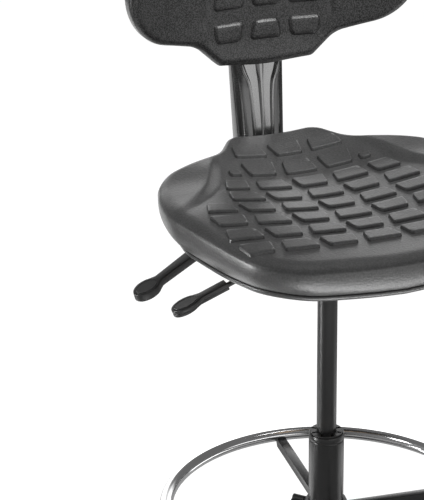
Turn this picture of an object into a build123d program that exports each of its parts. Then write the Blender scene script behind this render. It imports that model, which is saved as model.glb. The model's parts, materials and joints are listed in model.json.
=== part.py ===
"""Work stool with a moulded seat and backrest, a gas column, two levers, a foot ring and a five-arm base.

Millimetres. +Z is up, the sitter faces -Y and the levers are on the sitter's right, -X.
The origin is on the floor, on the axis of the column.
"""

import os
from math import atan2, cos, degrees, hypot, radians, sin

from build123d import *

os.makedirs("parts", exist_ok=True)

# Clearances
fit_gap = 0.05
slide_gap = 0.3

# Base and glides
arm_count = 5
first_arm_angle = 90.0
glide_circle_radius = 300.0
glide_radius = 24.0
glide_rim_height = 6.0
glide_neck_radius = 13.0
glide_height = 46.0
stem_radius = 5.5
stem_length = 44.0
stem_in_glide = 20.0
arm_root_width = 54.0
arm_root_top = 122.0
arm_root_bottom = 72.0
arm_end_width = 36.0
arm_end_top = 86.0
arm_end_bottom = 58.0
arm_edge_radius = 7.0
arm_wall = 4.5
boss_radius = 18.0
hub_radius = 38.0
hub_bottom = 66.0
hub_top = 130.0

# Outer column
column_radius = 25.0
column_foot_radius = 24.2
column_wall = 1.8
column_top = 432.0
bush_length = 88.0
bush_stand = 2.5
bush_notch_count = 8
bush_notch_width = 4.0
bush_notch_depth = 3.0
bottom_plate_thickness = 4.0

# Thrust bearing and buffer
race_radius = 12.0
race_thickness = 2.0
ball_radius = 2.0
ball_circle_radius = 8.5
ball_count = 8
buffer_radius = 11.0
buffer_height = 8.0
clip_radius = 8.0
clip_thickness = 2.0

# Gas spring
stroke = 250.0
stroke_reserve = 4.0
rod_radius = 5.0
rod_neck_radius = 4.0
cylinder_radius = 14.0
cylinder_wall = 1.8
cylinder_tip_radius = 13.0
cylinder_taper_length = 44.0
cylinder_in_column = 94.0
guide_length = 12.0
guide_recess = 2.0
piston_length = 12.0
piston_stand = 6.0
valve_radius = 4.0
valve_tip_share = 0.8
valve_stand = 5.0
valve_length = 44.0
valve_block_length = 72.0

# Mechanism under the seat
housing_half_width = 39.0
housing_height = 45.0
housing_front = -100.0
housing_rear = 128.0
sheet = 3.0
plate_half_width = 85.0
plate_front = -120.0
plate_rear = 120.0
plate_corner_radius = 12.0
socket_radius = 21.0
socket_height = 26.0
bolt_spacing_x = 140.0
bolt_spacing_y = 190.0
bolt_radius = 3.0
bolt_head_radius = 5.5
bolt_head_height = 4.5
insert_radius = 4.6

# Seat height lever
fulcrum_offset = 28.0
fulcrum_pin_radius = 1.5
fulcrum_ear_width = 8.0
fulcrum_ear_thickness = 3.0
lever_rod_radius = 3.5
lever_bend_radius = 24.0
lever_inner_reach = 4.0
lever_slot_half_width = 9.0
lever_slot_height = 22.0
front_lever_elbow = (-46.0, 0.0)
front_lever_knee = (-150.0, -32.0, 699.0)
front_lever_tip = (-238.0, -30.0, 665.5)
front_rod_bare_length = 12.0
grip_width = 14.0
grip_thickness = 10.0
paddle_length = 42.0
paddle_width = 31.0
paddle_dish_radius = 60.0
paddle_dish_depth = 1.6

# Back pivot, lock bolt and back angle lever
pivot_y = 105.0
pivot_drop = 20.0
pivot_radius = 6.0
pivot_head_radius = 9.0
pivot_head_thickness = 3.0
lock_offset = 28.0
lock_radius = 4.0
lock_head_radius = 7.0
lock_slot_up = 6.0
lock_slot_down = 18.0
lock_slot_margin = 11.5
eye_thickness = 6.0
eye_radius = 6.5
eye_reach = 21.0
cam_radius = 9.0
cam_width = 22.0
cam_pin_radius = 2.5
rear_lever_elbow = (-161.0, 77.0, 703.0)
rear_lever_tip = (-266.0, 34.0, 668.5)
rear_lever_width = 17.0
rear_lever_neck = 12.0
rear_lever_thickness = 9.0

# Back bar
bar_half_width = 25.0
bar_thickness = 6.0
bar_drop = 3.0
bar_bend_radius = 30.0
bar_y = 250.0
bar_top = 1150.0
cheek_thickness = 4.0
cheek_radius = 15.0
cheek_rear = 160.0

# Fluted upright cover
cover_foot_half_width = 34.0
cover_half_width = 39.5
cover_neck_half_width = 37.0
cover_foot_front = 214.0
cover_front = 230.0
cover_neck_front = 238.0
cover_shoulder = 910.0
cover_foot_rear = 256.0
cover_rear = 262.0
cover_wall = 3.0
cover_cap = 6.0
cover_bottom = 768.0
cover_top = 980.0
cover_corner_radius = 6.0
flute_radius = 9.0
flute_depth = 1.6
flute_offset = 9.5

# Seat pad
seat_lift = 4.0
seat_front = 249.0
seat_front_corner = (175.0, -228.0)
seat_side = (242.0, 6.0)
seat_shoulder = (213.0, 87.0)
seat_tail_root = (98.0, 153.0)
seat_tail_end = (67.0, 198.0)
seat_front_radius = 420.0
seat_corner_radius = 96.0
seat_side_radius = 170.0
seat_shoulder_radius = 62.0
seat_root_radius = 30.0
seat_tail_radius = 40.0
seat_levels = ((0.0, 27.0), (12.0, 9.0), (31.0, 0.0), (56.0, 1.5), (74.0, 9.0), (92.0, 34.0))
seat_saddle = 48.0
seat_blank_height = 195.0
seat_dish_half_width = 250.0
seat_dish_rise = 26.0
seat_stations = (
    (-300.0, -70.0),
    (-248.0, -27.0),
    (-215.0, -10.0),
    (-170.0, -2.0),
    (-90.0, 0.0),
    (40.0, 0.0),
    (110.0, 12.0),
    (170.0, 29.0),
    (235.0, 44.0),
)
lobe_rise = 9.0
lobe_crease_start = (104.0, 170.0)
lobe_crease_middle = (146.0, 55.0)
lobe_crease_end = (250.0, -46.0)

# Raised bricks on the pads
brick_pitch_x = 57.5
brick_pitch_y = 43.5
brick_long_edge = 47.0
brick_short_edge = 37.0
brick_depth = 27.0
brick_height = 3.0
seat_brick_first = -174.5
seat_brick_columns = (2, 3, 3, 3, 2, 2, 1, 1)
brick_root = 6.0

# Seat pan
pan_half_width = 140.0
pan_front = -140.0
pan_rear = 118.0
pan_thickness = 12.0
pan_corner_radius = 40.0

# Backrest pad
back_bottom = 912.0
back_height = 300.0
back_front = 214.0
back_curve_radius = 450.0
back_thickness = 34.0
back_blank_depth = 350.0
back_tail_half_width = 67.0
back_tail_root = (106.0, 38.0)
back_side = (222.0, 66.0)
back_top_half_width = 202.0
back_tail_radius = 14.0
back_root_radius = 45.0
back_side_radius = 75.0
back_top_radius = 80.0
back_edge_radius = 8.0
wing_groove_x = 97.0
wing_groove_radius = 4.0
wing_groove_depth = 2.5
wing_groove_foot = 62.0
back_brick_rows = ((38.0, 19.0), (84.5, 27.0), (131.0, 27.0), (177.5, 27.0), (224.0, 27.0))
back_brick_columns = 1
channel_half_width = 46.0
channel_depth = 10.0
channel_top_margin = 27.0

# Backrest carriage
carriage_bottom = 1040.0
carriage_height = 52.0
carriage_wall = 3.0
back_plate_half_width = 42.0
back_plate_margin = 22.0
back_screw_radius = 2.5
back_screw_head_radius = 5.0
back_screw_head_height = 3.0
back_screw_length = 12.0

# Hand knobs
knob_radius = 13.0
knob_lobe_radius = 5.5
knob_lobe_count = 5
knob_length = 18.0
stud_radius = 4.0
stud_in_knob = 12.0
knob_stand = 4.0

# Foot ring
ring_height = 318.0
ring_radius = 229.0
ring_tube_radius = 9.5
spoke_count = 4
first_spoke_angle = -7.0
spoke_width = 14.0
spoke_depth = 14.0
spoke_saddle = 5.5
spoke_end_past = 4.0
collar_radius = 32.0
collar_tip_radius = 29.0
collar_sleeve_wall = 2.5
collar_drop = 34.0
collar_rise = 7.0
ring_knob_angle = 129.0
ring_knob_drop = 18.0

# Heights and places worked out from the sizes above
column_bore = column_radius - column_wall
housing_bottom = column_top + stroke + stroke_reserve
plate_bottom = housing_bottom + housing_height
plate_top = plate_bottom + sheet
housing_inner = housing_half_width - sheet
cylinder_bottom = column_top - cylinder_in_column
cylinder_top = housing_bottom + socket_height
cylinder_bore = cylinder_radius - cylinder_wall
valve_top = cylinder_top + valve_stand
lever_axis_z = valve_top + slide_gap + lever_rod_radius
pivot_z = plate_bottom - pivot_drop
lock_y = pivot_y - lock_offset
cam_x = -(housing_half_width + eye_reach)
cheek_inner = bar_half_width
cheek_outer = cheek_inner + cheek_thickness
bar_top_z = pivot_z - bar_drop
bar_bottom_z = bar_top_z - bar_thickness
bar_front = bar_y - bar_thickness / 2
bar_rear = bar_y + bar_thickness / 2
seat_bottom = plate_top + seat_lift
pan_top = plate_top + pan_thickness
back_axis_y = back_front - back_curve_radius
channel_face = back_front + back_thickness - channel_depth
back_plate_height = carriage_height + 2 * back_plate_margin
back_plate_middle = carriage_bottom + carriage_height / 2
back_plate_rear = channel_face + carriage_wall
back_screw_spacing_x = 2 * (back_plate_half_width - back_screw_head_radius - carriage_wall)
back_screw_spacing_z = back_plate_height - 2 * (back_screw_head_radius + carriage_wall)
carriage_inner = bar_half_width + slide_gap
carriage_rear = bar_rear + bar_thickness + carriage_wall
brick_side_angle = degrees(atan2(brick_depth, (brick_long_edge - brick_short_edge) / 2))
seal_z = hub_bottom + bottom_plate_thickness
lower_race_top = seal_z + race_thickness
upper_race_bottom = lower_race_top + 2 * ball_radius + 2 * fit_gap
upper_race_top = upper_race_bottom + race_thickness
piston_bottom = cylinder_bottom + guide_recess + guide_length + piston_stand
rod_top = piston_bottom + piston_length


def keep(piece, node):
    """Label a finished piece and write it as one STEP file."""
    piece.part.label = node
    export_step(piece.part, f"parts/{node}.step")


def turned(*profile):
    """A solid turned about the column axis from (radius, height) corners."""
    with BuildPart() as piece:
        with BuildSketch(Plane.XZ):
            with BuildLine():
                Polyline(*profile, close=True)
            make_face()
        revolve(axis=Axis.Z)
    return piece


def mirrored_outline(right_half):
    """Close an outline from its right half, listed from the centre line round to the other end."""
    left_half = [(-x, y) for x, y in reversed(right_half) if x > 0]
    return list(right_half) + left_half


def inset_corners(corners, inset):
    """Move every side of a counter-clockwise outline inwards and return its new corners."""
    moved = []
    count = len(corners)
    for here in range(count):
        before = corners[here - 1]
        corner = corners[here]
        after = corners[(here + 1) % count]
        in_x, in_y = corner[0] - before[0], corner[1] - before[1]
        out_x, out_y = after[0] - corner[0], after[1] - corner[1]
        in_length, out_length = hypot(in_x, in_y), hypot(out_x, out_y)
        normal_in = (-in_y / in_length, in_x / in_length)
        normal_out = (-out_y / out_length, out_x / out_length)
        spread = 1 + normal_in[0] * normal_out[0] + normal_in[1] * normal_out[1]
        shift_x = inset * (normal_in[0] + normal_out[0]) / spread
        shift_y = inset * (normal_in[1] + normal_out[1]) / spread
        moved.append((corner[0] + shift_x, corner[1] + shift_y))
    return moved


def lever_plane(root, tip):
    """A plane at a lever's root with its X axis along the lever and its Z axis as near up as that allows."""
    along = Vector(*tip) - Vector(*root)
    side = Vector(0, 0, 1).cross(along)
    return Plane(origin=root, x_dir=along, z_dir=along.cross(side))


def lobed_knob(plane):
    """A lobed hand knob that starts at the plane, with a blind hole for its stud."""
    with BuildPart() as knob:
        with BuildSketch(plane):
            Circle(knob_radius)
            with PolarLocations(knob_radius, knob_lobe_count):
                Circle(knob_lobe_radius)
        extrude(amount=knob_length)
        with BuildSketch(plane):
            Circle(stud_radius + fit_gap)
        extrude(amount=stud_in_knob, mode=Mode.SUBTRACT)
    return knob


# Glides and their stems
for number in range(arm_count):
    angle = radians(first_arm_angle + number * 360 / arm_count)
    glide_x = glide_circle_radius * cos(angle)
    glide_y = glide_circle_radius * sin(angle)
    with BuildPart(Plane((glide_x, glide_y, 0))) as glide:
        with BuildSketch(Plane((glide_x, glide_y, 0))):
            Circle(glide_radius)
        extrude(amount=glide_rim_height)
        with BuildSketch(Plane((glide_x, glide_y, glide_rim_height))):
            Circle(glide_radius)
        with BuildSketch(Plane((glide_x, glide_y, glide_height))):
            Circle(glide_neck_radius)
        loft()
        with BuildSketch(Plane((glide_x, glide_y, glide_height))):
            Circle(stem_radius + fit_gap)
        extrude(amount=-stem_in_glide, mode=Mode.SUBTRACT)
    keep(glide, f"glide_{number + 1}")

with BuildPart() as glide_stems:
    with BuildSketch(Plane.XY.offset(glide_height - stem_in_glide)):
        with PolarLocations(glide_circle_radius, arm_count, first_arm_angle):
            Circle(stem_radius)
    extrude(amount=stem_length)
keep(glide_stems, "glide_stems")

# One arm of the base, hollow below, with the boss that takes a glide stem
with BuildPart() as base_arm:
    with BuildSketch(Plane.YZ.offset(hub_radius - arm_wall)):
        with Locations((0, (arm_root_top + arm_root_bottom) / 2)):
            RectangleRounded(arm_root_width, arm_root_top - arm_root_bottom, arm_edge_radius)
    with BuildSketch(Plane.YZ.offset(glide_circle_radius)):
        with Locations((0, (arm_end_top + arm_end_bottom) / 2)):
            RectangleRounded(arm_end_width, arm_end_top - arm_end_bottom, arm_edge_radius)
    loft()
    with BuildSketch(Plane.YZ.offset(hub_radius + arm_wall)):
        with Locations((0, arm_root_bottom - arm_wall)):
            Rectangle(
                arm_root_width - 2 * arm_wall,
                arm_root_top - arm_root_bottom - arm_wall,
                align=(Align.CENTER, Align.MIN),
            )
    with BuildSketch(Plane.YZ.offset(glide_circle_radius - boss_radius - arm_wall)):
        with Locations((0, arm_end_bottom - arm_wall)):
            Rectangle(
                arm_end_width - 2 * arm_wall,
                arm_end_top - arm_end_bottom - arm_wall,
                align=(Align.CENTER, Align.MIN),
            )
    loft(mode=Mode.SUBTRACT)
    with BuildSketch(Plane((glide_circle_radius, 0, glide_height))):
        Circle(boss_radius)
    extrude(amount=arm_end_top - glide_height)
    with BuildSketch(Plane((glide_circle_radius, 0, glide_height))):
        Circle(stem_radius + fit_gap)
    extrude(amount=stem_length - stem_in_glide + slide_gap, mode=Mode.SUBTRACT)

with BuildPart() as base_star:
    with BuildSketch(Plane.XY.offset(hub_bottom)):
        Circle(hub_radius)
    extrude(amount=hub_top - hub_bottom)
    with PolarLocations(0, arm_count, first_arm_angle):
        add(base_arm.part)
    with BuildSketch(Plane.XY.offset(hub_bottom)):
        Circle(column_foot_radius + fit_gap)
    with BuildSketch(Plane.XY.offset(hub_top)):
        Circle(column_radius + fit_gap)
    loft(mode=Mode.SUBTRACT)
keep(base_star, "base_star")

# Outer column, its guide bush and its bottom plate
column_tube = turned(
    (column_bore, hub_bottom),
    (column_foot_radius, hub_bottom),
    (column_radius, hub_top),
    (column_radius, column_top),
    (column_bore, column_top),
)
keep(column_tube, "column_tube")

with BuildPart() as column_bush:
    with BuildSketch(Plane.XY.offset(column_top + bush_stand - bush_length)):
        Circle(column_bore - fit_gap)
        Circle(cylinder_radius + fit_gap, mode=Mode.SUBTRACT)
    extrude(amount=bush_length)
    with BuildSketch(Plane.XY.offset(column_top + bush_stand)):
        with PolarLocations((column_bore + cylinder_radius) / 2, bush_notch_count):
            Rectangle(column_bore - cylinder_radius - column_wall, bush_notch_width)
    extrude(amount=-bush_notch_depth, mode=Mode.SUBTRACT)
keep(column_bush, "column_bush")

with BuildPart() as column_plate:
    with BuildSketch(Plane.XY.offset(hub_bottom)):
        Circle(column_bore - fit_gap)
        Circle(rod_neck_radius + fit_gap, mode=Mode.SUBTRACT)
    extrude(amount=bottom_plate_thickness)
keep(column_plate, "column_plate")

# Thrust bearing, clip and buffer on the lower end of the rod
with BuildPart() as bearing_race_lower:
    with BuildSketch(Plane.XY.offset(seal_z)):
        Circle(race_radius)
        Circle(rod_neck_radius + slide_gap, mode=Mode.SUBTRACT)
    extrude(amount=race_thickness)
keep(bearing_race_lower, "bearing_race_lower")

with BuildPart() as bearing_balls:
    with Locations((0, 0, lower_race_top + fit_gap + ball_radius)):
        with PolarLocations(ball_circle_radius, ball_count):
            Sphere(ball_radius)
keep(bearing_balls, "bearing_balls")

with BuildPart() as bearing_race_upper:
    with BuildSketch(Plane.XY.offset(upper_race_bottom)):
        Circle(race_radius)
        Circle(rod_neck_radius + fit_gap, mode=Mode.SUBTRACT)
    extrude(amount=race_thickness)
keep(bearing_race_upper, "bearing_race_upper")

with BuildPart() as rod_clip:
    with BuildSketch(Plane.XY.offset(hub_bottom - slide_gap)):
        Circle(clip_radius)
        Circle(rod_neck_radius + fit_gap, mode=Mode.SUBTRACT)
    extrude(amount=-clip_thickness)
keep(rod_clip, "rod_clip")

with BuildPart() as buffer_ring:
    with BuildSketch(Plane.XY.offset(upper_race_top)):
        Circle(buffer_radius)
        Circle(rod_radius + fit_gap, mode=Mode.SUBTRACT)
    extrude(amount=buffer_height)
keep(buffer_ring, "buffer_ring")

# Gas spring
rod_foot = hub_bottom - slide_gap - 2 * clip_thickness
piston_rod = turned(
    (0, rod_foot),
    (rod_neck_radius, rod_foot),
    (rod_neck_radius, upper_race_top),
    (rod_radius, upper_race_top),
    (rod_radius, piston_bottom),
    (rod_neck_radius, piston_bottom),
    (rod_neck_radius, rod_top),
    (0, rod_top),
)
keep(piston_rod, "piston_rod")

with BuildPart() as piston_head:
    with BuildSketch(Plane.XY.offset(piston_bottom)):
        Circle(cylinder_bore - fit_gap)
        Circle(rod_neck_radius + fit_gap, mode=Mode.SUBTRACT)
    extrude(amount=piston_length)
keep(piston_head, "piston_head")

cylinder_taper_foot = cylinder_top - cylinder_taper_length
valve_floor = valve_top - valve_length - 2 * valve_stand
cavity_top = cylinder_top - valve_block_length
gas_cylinder = turned(
    (cylinder_bore, cylinder_bottom),
    (cylinder_radius, cylinder_bottom),
    (cylinder_radius, cylinder_taper_foot),
    (cylinder_tip_radius, cylinder_top),
    (valve_radius + fit_gap, cylinder_top),
    (valve_radius + fit_gap, valve_floor),
    (0, valve_floor),
    (0, cavity_top),
    (cylinder_bore, cavity_top),
)
keep(gas_cylinder, "gas_cylinder")

with BuildPart() as rod_guide:
    with BuildSketch(Plane.XY.offset(cylinder_bottom + guide_recess)):
        Circle(cylinder_bore - fit_gap)
        Circle(rod_radius + fit_gap, mode=Mode.SUBTRACT)
    extrude(amount=guide_length)
keep(rod_guide, "rod_guide")

with BuildPart() as valve_pin:
    with BuildSketch(Plane.XY.offset(valve_top - valve_length)):
        Circle(valve_radius)
    extrude(amount=valve_length)
    fillet(valve_pin.edges().group_by(Axis.Z)[-1], radius=valve_radius * valve_tip_share)
keep(valve_pin, "valve_pin")

# Mechanism: taper socket, housing and top plate
taper_slope = (cylinder_radius - cylinder_tip_radius) / cylinder_taper_length
socket_mouth = cylinder_tip_radius + taper_slope * socket_height
taper_socket = turned(
    (socket_mouth + fit_gap, housing_bottom),
    (socket_radius, housing_bottom),
    (socket_radius, cylinder_top),
    (cylinder_tip_radius + fit_gap, cylinder_top),
)
keep(taper_socket, "taper_socket")

with BuildPart() as mechanism_housing:
    with BuildSketch(Plane.XY.offset(housing_bottom)):
        with Locations((0, (housing_front + housing_rear) / 2)):
            Rectangle(2 * housing_half_width, housing_rear - housing_front)
    extrude(amount=housing_height)
    with BuildSketch(Plane.XY.offset(housing_bottom + sheet)):
        with Locations((0, housing_front + sheet)):
            Rectangle(2 * housing_inner, housing_rear - housing_front, align=(Align.CENTER, Align.MIN))
    extrude(amount=housing_height, mode=Mode.SUBTRACT)
    with BuildSketch(Plane.XY.offset(housing_bottom)):
        Circle(socket_radius + fit_gap)
        with Locations((0, housing_rear)):
            Rectangle(2 * (cheek_outer + slide_gap), 2 * (housing_rear - pivot_y - cheek_radius + sheet))
    extrude(amount=sheet, mode=Mode.SUBTRACT)
    with BuildSketch(Plane.YZ.offset(-housing_half_width)):
        with Locations((pivot_y, pivot_z)):
            Circle(pivot_radius + fit_gap)
        with Locations((lock_y, pivot_z)):
            Circle(lock_radius + fit_gap)
    extrude(amount=2 * housing_half_width, mode=Mode.SUBTRACT)
    with BuildSketch(Plane.YZ.offset(-housing_half_width)):
        with Locations((0, plate_bottom)):
            Rectangle(2 * lever_slot_half_width, 2 * lever_slot_height)
    extrude(amount=sheet, mode=Mode.SUBTRACT)
keep(mechanism_housing, "mechanism_housing")

with BuildPart() as mechanism_plate:
    with BuildSketch(Plane.XY.offset(plate_bottom)):
        with Locations((0, (plate_front + plate_rear) / 2)):
            RectangleRounded(2 * plate_half_width, plate_rear - plate_front, plate_corner_radius)
        with GridLocations(bolt_spacing_x, bolt_spacing_y, 2, 2):
            Circle(bolt_radius + fit_gap, mode=Mode.SUBTRACT)
    extrude(amount=sheet)
keep(mechanism_plate, "mechanism_plate")

with BuildPart() as fulcrum_bracket:
    ear_inner = lever_rod_radius + slide_gap
    ear_drop = plate_bottom - lever_axis_z + fulcrum_ear_width / 2
    for side in (-1, 1):
        with BuildSketch(Plane.XZ.offset(-side * (ear_inner + fulcrum_ear_thickness / 2))):
            with Locations((-fulcrum_offset, plate_bottom)):
                Rectangle(fulcrum_ear_width, ear_drop, align=(Align.CENTER, Align.MAX))
            with Locations((-fulcrum_offset, lever_axis_z)):
                Circle(fulcrum_pin_radius + fit_gap, mode=Mode.SUBTRACT)
        extrude(amount=fulcrum_ear_thickness / 2, both=True)
keep(fulcrum_bracket, "fulcrum_bracket")

with BuildPart() as fulcrum_pin:
    with BuildSketch(Plane.XZ):
        with Locations((-fulcrum_offset, lever_axis_z)):
            Circle(fulcrum_pin_radius)
    extrude(amount=ear_inner + fulcrum_ear_thickness, both=True)
keep(fulcrum_pin, "fulcrum_pin")

# Seat height lever: bent rod and moulded grip with an oval paddle
front_start = (lever_inner_reach, 0, lever_axis_z)
front_elbow = (*front_lever_elbow, lever_axis_z)
front_run = Vector(*front_lever_tip) - Vector(*front_lever_knee)
front_grip_root = Vector(*front_lever_knee) + front_run.normalized() * front_rod_bare_length
front_grip_length = front_run.length - front_rod_bare_length
front_rod_end = front_grip_root + front_run.normalized() * (front_grip_length - paddle_length)
with BuildPart() as front_lever_rod:
    with BuildLine():
        FilletPolyline(
            front_start, front_elbow, front_lever_knee, tuple(front_rod_end), radius=lever_bend_radius
        )
    with BuildSketch(Plane(origin=front_start, z_dir=(-1, 0, 0))):
        Circle(lever_rod_radius)
    sweep()
    with BuildSketch(Plane.XZ):
        with Locations((-fulcrum_offset, lever_axis_z)):
            Circle(fulcrum_pin_radius + fit_gap)
    extrude(amount=2 * lever_rod_radius, both=True, mode=Mode.SUBTRACT)
keep(front_lever_rod, "front_lever_rod")

grip_plane = lever_plane(tuple(front_grip_root), front_lever_tip)
with BuildPart() as front_lever_grip:
    with BuildSketch(grip_plane):
        Rectangle(front_grip_length - paddle_length / 2, grip_width, align=(Align.MIN, Align.CENTER))
        with Locations((front_grip_length - paddle_length / 2, 0)):
            Ellipse(paddle_length / 2, paddle_width / 2)
    extrude(amount=grip_thickness / 2, both=True)
    grip_dish_height = grip_thickness / 2 + paddle_dish_radius - paddle_dish_depth
    with Locations(grip_plane.location * Pos(front_grip_length - paddle_length / 2, 0, grip_dish_height)):
        Sphere(paddle_dish_radius, mode=Mode.SUBTRACT)
    with BuildSketch(Plane(origin=grip_plane.origin, z_dir=grip_plane.x_dir)):
        Circle(lever_rod_radius + fit_gap)
    extrude(amount=front_grip_length - paddle_length + slide_gap, mode=Mode.SUBTRACT)
keep(front_lever_grip, "front_lever_grip")

# Back angle lever: cam, arm and oval paddle in one moulding
cam_centre = (cam_x, lock_y, pivot_z)
rear_arm_plane = lever_plane(cam_centre, rear_lever_elbow)
rear_arm_length = (Vector(*rear_lever_elbow) - Vector(*cam_centre)).length
rear_tip_plane = lever_plane(rear_lever_elbow, rear_lever_tip)
rear_tip_length = (Vector(*rear_lever_tip) - Vector(*rear_lever_elbow)).length
with BuildPart() as rear_lever:
    with BuildSketch(Plane.XZ.offset(-lock_y)):
        with Locations((cam_x, pivot_z)):
            Circle(cam_radius)
    extrude(amount=cam_width / 2, both=True)
    with BuildSketch(rear_arm_plane):
        Rectangle(rear_arm_length, rear_lever_width, align=(Align.MIN, Align.CENTER))
        with Locations((rear_arm_length, 0)):
            Circle(rear_lever_width / 2)
    extrude(amount=rear_lever_thickness / 2, both=True)
    with BuildSketch(rear_tip_plane):
        with BuildLine():
            Polyline(
                (0, -rear_lever_width / 2),
                (rear_tip_length - paddle_length / 2, -rear_lever_neck / 2),
                (rear_tip_length - paddle_length / 2, rear_lever_neck / 2),
                (0, rear_lever_width / 2),
                close=True,
            )
        make_face()
        with Locations((rear_tip_length - paddle_length / 2, 0)):
            Ellipse(paddle_length / 2, paddle_width / 2)
    extrude(amount=rear_lever_thickness / 2, both=True)
    rear_dish_height = rear_lever_thickness / 2 + paddle_dish_radius - paddle_dish_depth
    with Locations(rear_tip_plane.location * Pos(rear_tip_length - paddle_length / 2, 0, rear_dish_height)):
        Sphere(paddle_dish_radius, mode=Mode.SUBTRACT)
    with BuildSketch(Plane.XZ.offset(-lock_y)):
        with Locations((cam_x, pivot_z)):
            Circle(eye_radius + 2 * slide_gap)
            Rectangle(cam_radius + eye_radius, 2 * eye_radius + 2 * slide_gap, align=(Align.MIN, Align.CENTER))
    extrude(amount=eye_thickness / 2 + slide_gap, both=True, mode=Mode.SUBTRACT)
    with BuildSketch(Plane.XZ.offset(-lock_y)):
        with Locations((cam_x, pivot_z)):
            Circle(cam_pin_radius + fit_gap)
    extrude(amount=cam_width, both=True, mode=Mode.SUBTRACT)
keep(rear_lever, "rear_lever")

with BuildPart() as cam_pin:
    with BuildSketch(Plane.XZ.offset(-lock_y)):
        with Locations((cam_x, pivot_z)):
            Circle(cam_pin_radius)
    extrude(amount=cam_width / 2, both=True)
keep(cam_pin, "cam_pin")

# Lock bolt across the housing, with an eye for the cam pin
shank_start = cam_x + cam_radius + slide_gap
with BuildPart() as lock_bolt:
    with BuildSketch(Plane.YZ.offset(shank_start)):
        with Locations((lock_y, pivot_z)):
            Circle(lock_radius)
    extrude(amount=housing_half_width - shank_start)
    with BuildSketch(Plane.XZ.offset(-lock_y)):
        with Locations((cam_x, pivot_z)):
            Rectangle(shank_start - cam_x, 2 * lock_radius, align=(Align.MIN, Align.CENTER))
    extrude(amount=eye_thickness / 2, both=True)
    with BuildSketch(Plane.YZ.offset(housing_half_width)):
        with Locations((lock_y, pivot_z)):
            RegularPolygon(lock_head_radius, 6)
    extrude(amount=pivot_head_thickness)
    with BuildSketch(Plane.XZ.offset(-lock_y)):
        with Locations((cam_x, pivot_z)):
            Circle(eye_radius)
    extrude(amount=eye_thickness / 2, both=True)
    with BuildSketch(Plane.XZ.offset(-lock_y)):
        with Locations((cam_x, pivot_z)):
            Circle(cam_pin_radius + fit_gap)
    extrude(amount=eye_thickness, both=True, mode=Mode.SUBTRACT)
keep(lock_bolt, "lock_bolt")

with BuildPart() as lock_washers:
    for start in (-housing_inner + slide_gap, cheek_outer + slide_gap):
        with BuildSketch(Plane.YZ.offset(start)):
            with Locations((lock_y, pivot_z)):
                Circle(pivot_head_radius)
                Circle(lock_radius + fit_gap, mode=Mode.SUBTRACT)
        extrude(amount=housing_inner - cheek_outer - 2 * slide_gap)
keep(lock_washers, "lock_washers")

with BuildPart() as cam_washer:
    with BuildSketch(Plane.YZ.offset(-housing_half_width)):
        with Locations((lock_y, pivot_z)):
            Circle(pivot_head_radius)
            Circle(lock_radius + fit_gap, mode=Mode.SUBTRACT)
    extrude(amount=-(eye_reach - cam_radius - slide_gap))
keep(cam_washer, "cam_washer")

# Back pivot: pin, bushes, sleeve and cheeks
with BuildPart() as pivot_pin:
    with BuildSketch(Plane.YZ.offset(-housing_half_width - pivot_head_thickness)):
        with Locations((pivot_y, pivot_z)):
            Circle(pivot_radius)
    extrude(amount=2 * housing_half_width + pivot_head_thickness)
    with BuildSketch(Plane.YZ.offset(housing_half_width)):
        with Locations((pivot_y, pivot_z)):
            Circle(pivot_head_radius)
    extrude(amount=pivot_head_thickness)
keep(pivot_pin, "pivot_pin")

with BuildPart() as pivot_bushes:
    for start in (-housing_inner + slide_gap, cheek_outer + slide_gap):
        with BuildSketch(Plane.YZ.offset(start)):
            with Locations((pivot_y, pivot_z)):
                Circle(pivot_head_radius)
                Circle(pivot_radius + fit_gap, mode=Mode.SUBTRACT)
        extrude(amount=housing_inner - cheek_outer - 2 * slide_gap)
keep(pivot_bushes, "pivot_bushes")

with BuildPart() as pivot_sleeve:
    with BuildSketch(Plane.YZ.offset(-cheek_inner)):
        with Locations((pivot_y, pivot_z)):
            Circle(pivot_head_radius)
            Circle(pivot_radius + fit_gap, mode=Mode.SUBTRACT)
    extrude(amount=2 * cheek_inner)
keep(pivot_sleeve, "pivot_sleeve")

sector_radius = lock_offset + lock_radius + cheek_thickness
with BuildPart() as back_cheeks:
    for start in (-cheek_outer, cheek_inner):
        with BuildSketch(Plane.YZ.offset(start)):
            with Locations((pivot_y, pivot_z)):
                Circle(cheek_radius)
            with Locations((pivot_y, bar_bottom_z)):
                Rectangle(cheek_rear - pivot_y, cheek_radius, align=(Align.MIN, Align.MIN))
            with BuildLine():
                sector_low = 180 + lock_slot_down + lock_slot_margin
                sector_high = 180 - lock_slot_up - lock_slot_margin
                rim = CenterArc((pivot_y, pivot_z), sector_radius, sector_low, sector_high - sector_low)
                Line((pivot_y, pivot_z), rim @ 0)
                Line(rim @ 1, (pivot_y, pivot_z))
            make_face()
            with Locations((pivot_y, pivot_z)):
                Circle(pivot_radius + fit_gap, mode=Mode.SUBTRACT)
            with BuildLine(mode=Mode.PRIVATE) as slot_line:
                CenterArc((pivot_y, pivot_z), lock_offset, 180 - lock_slot_up, lock_slot_up + lock_slot_down)
            SlotArc(slot_line.edge(), 2 * (lock_radius + slide_gap), mode=Mode.SUBTRACT)
        extrude(amount=cheek_thickness)
keep(back_cheeks, "back_cheeks")

# Back bar: flat under the seat, bent up behind it
bar_path_z = (bar_top_z + bar_bottom_z) / 2
bar_front_end = pivot_y + cheek_radius + bar_drop
with BuildPart() as back_bar:
    with BuildLine():
        FilletPolyline(
            (0, bar_front_end, bar_path_z), (0, bar_y, bar_path_z), (0, bar_y, bar_top), radius=bar_bend_radius
        )
    with BuildSketch(Plane(origin=(0, bar_front_end, bar_path_z), x_dir=(1, 0, 0), z_dir=(0, 1, 0))):
        Rectangle(2 * bar_half_width, bar_thickness)
    sweep()
keep(back_bar, "back_bar")

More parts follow.
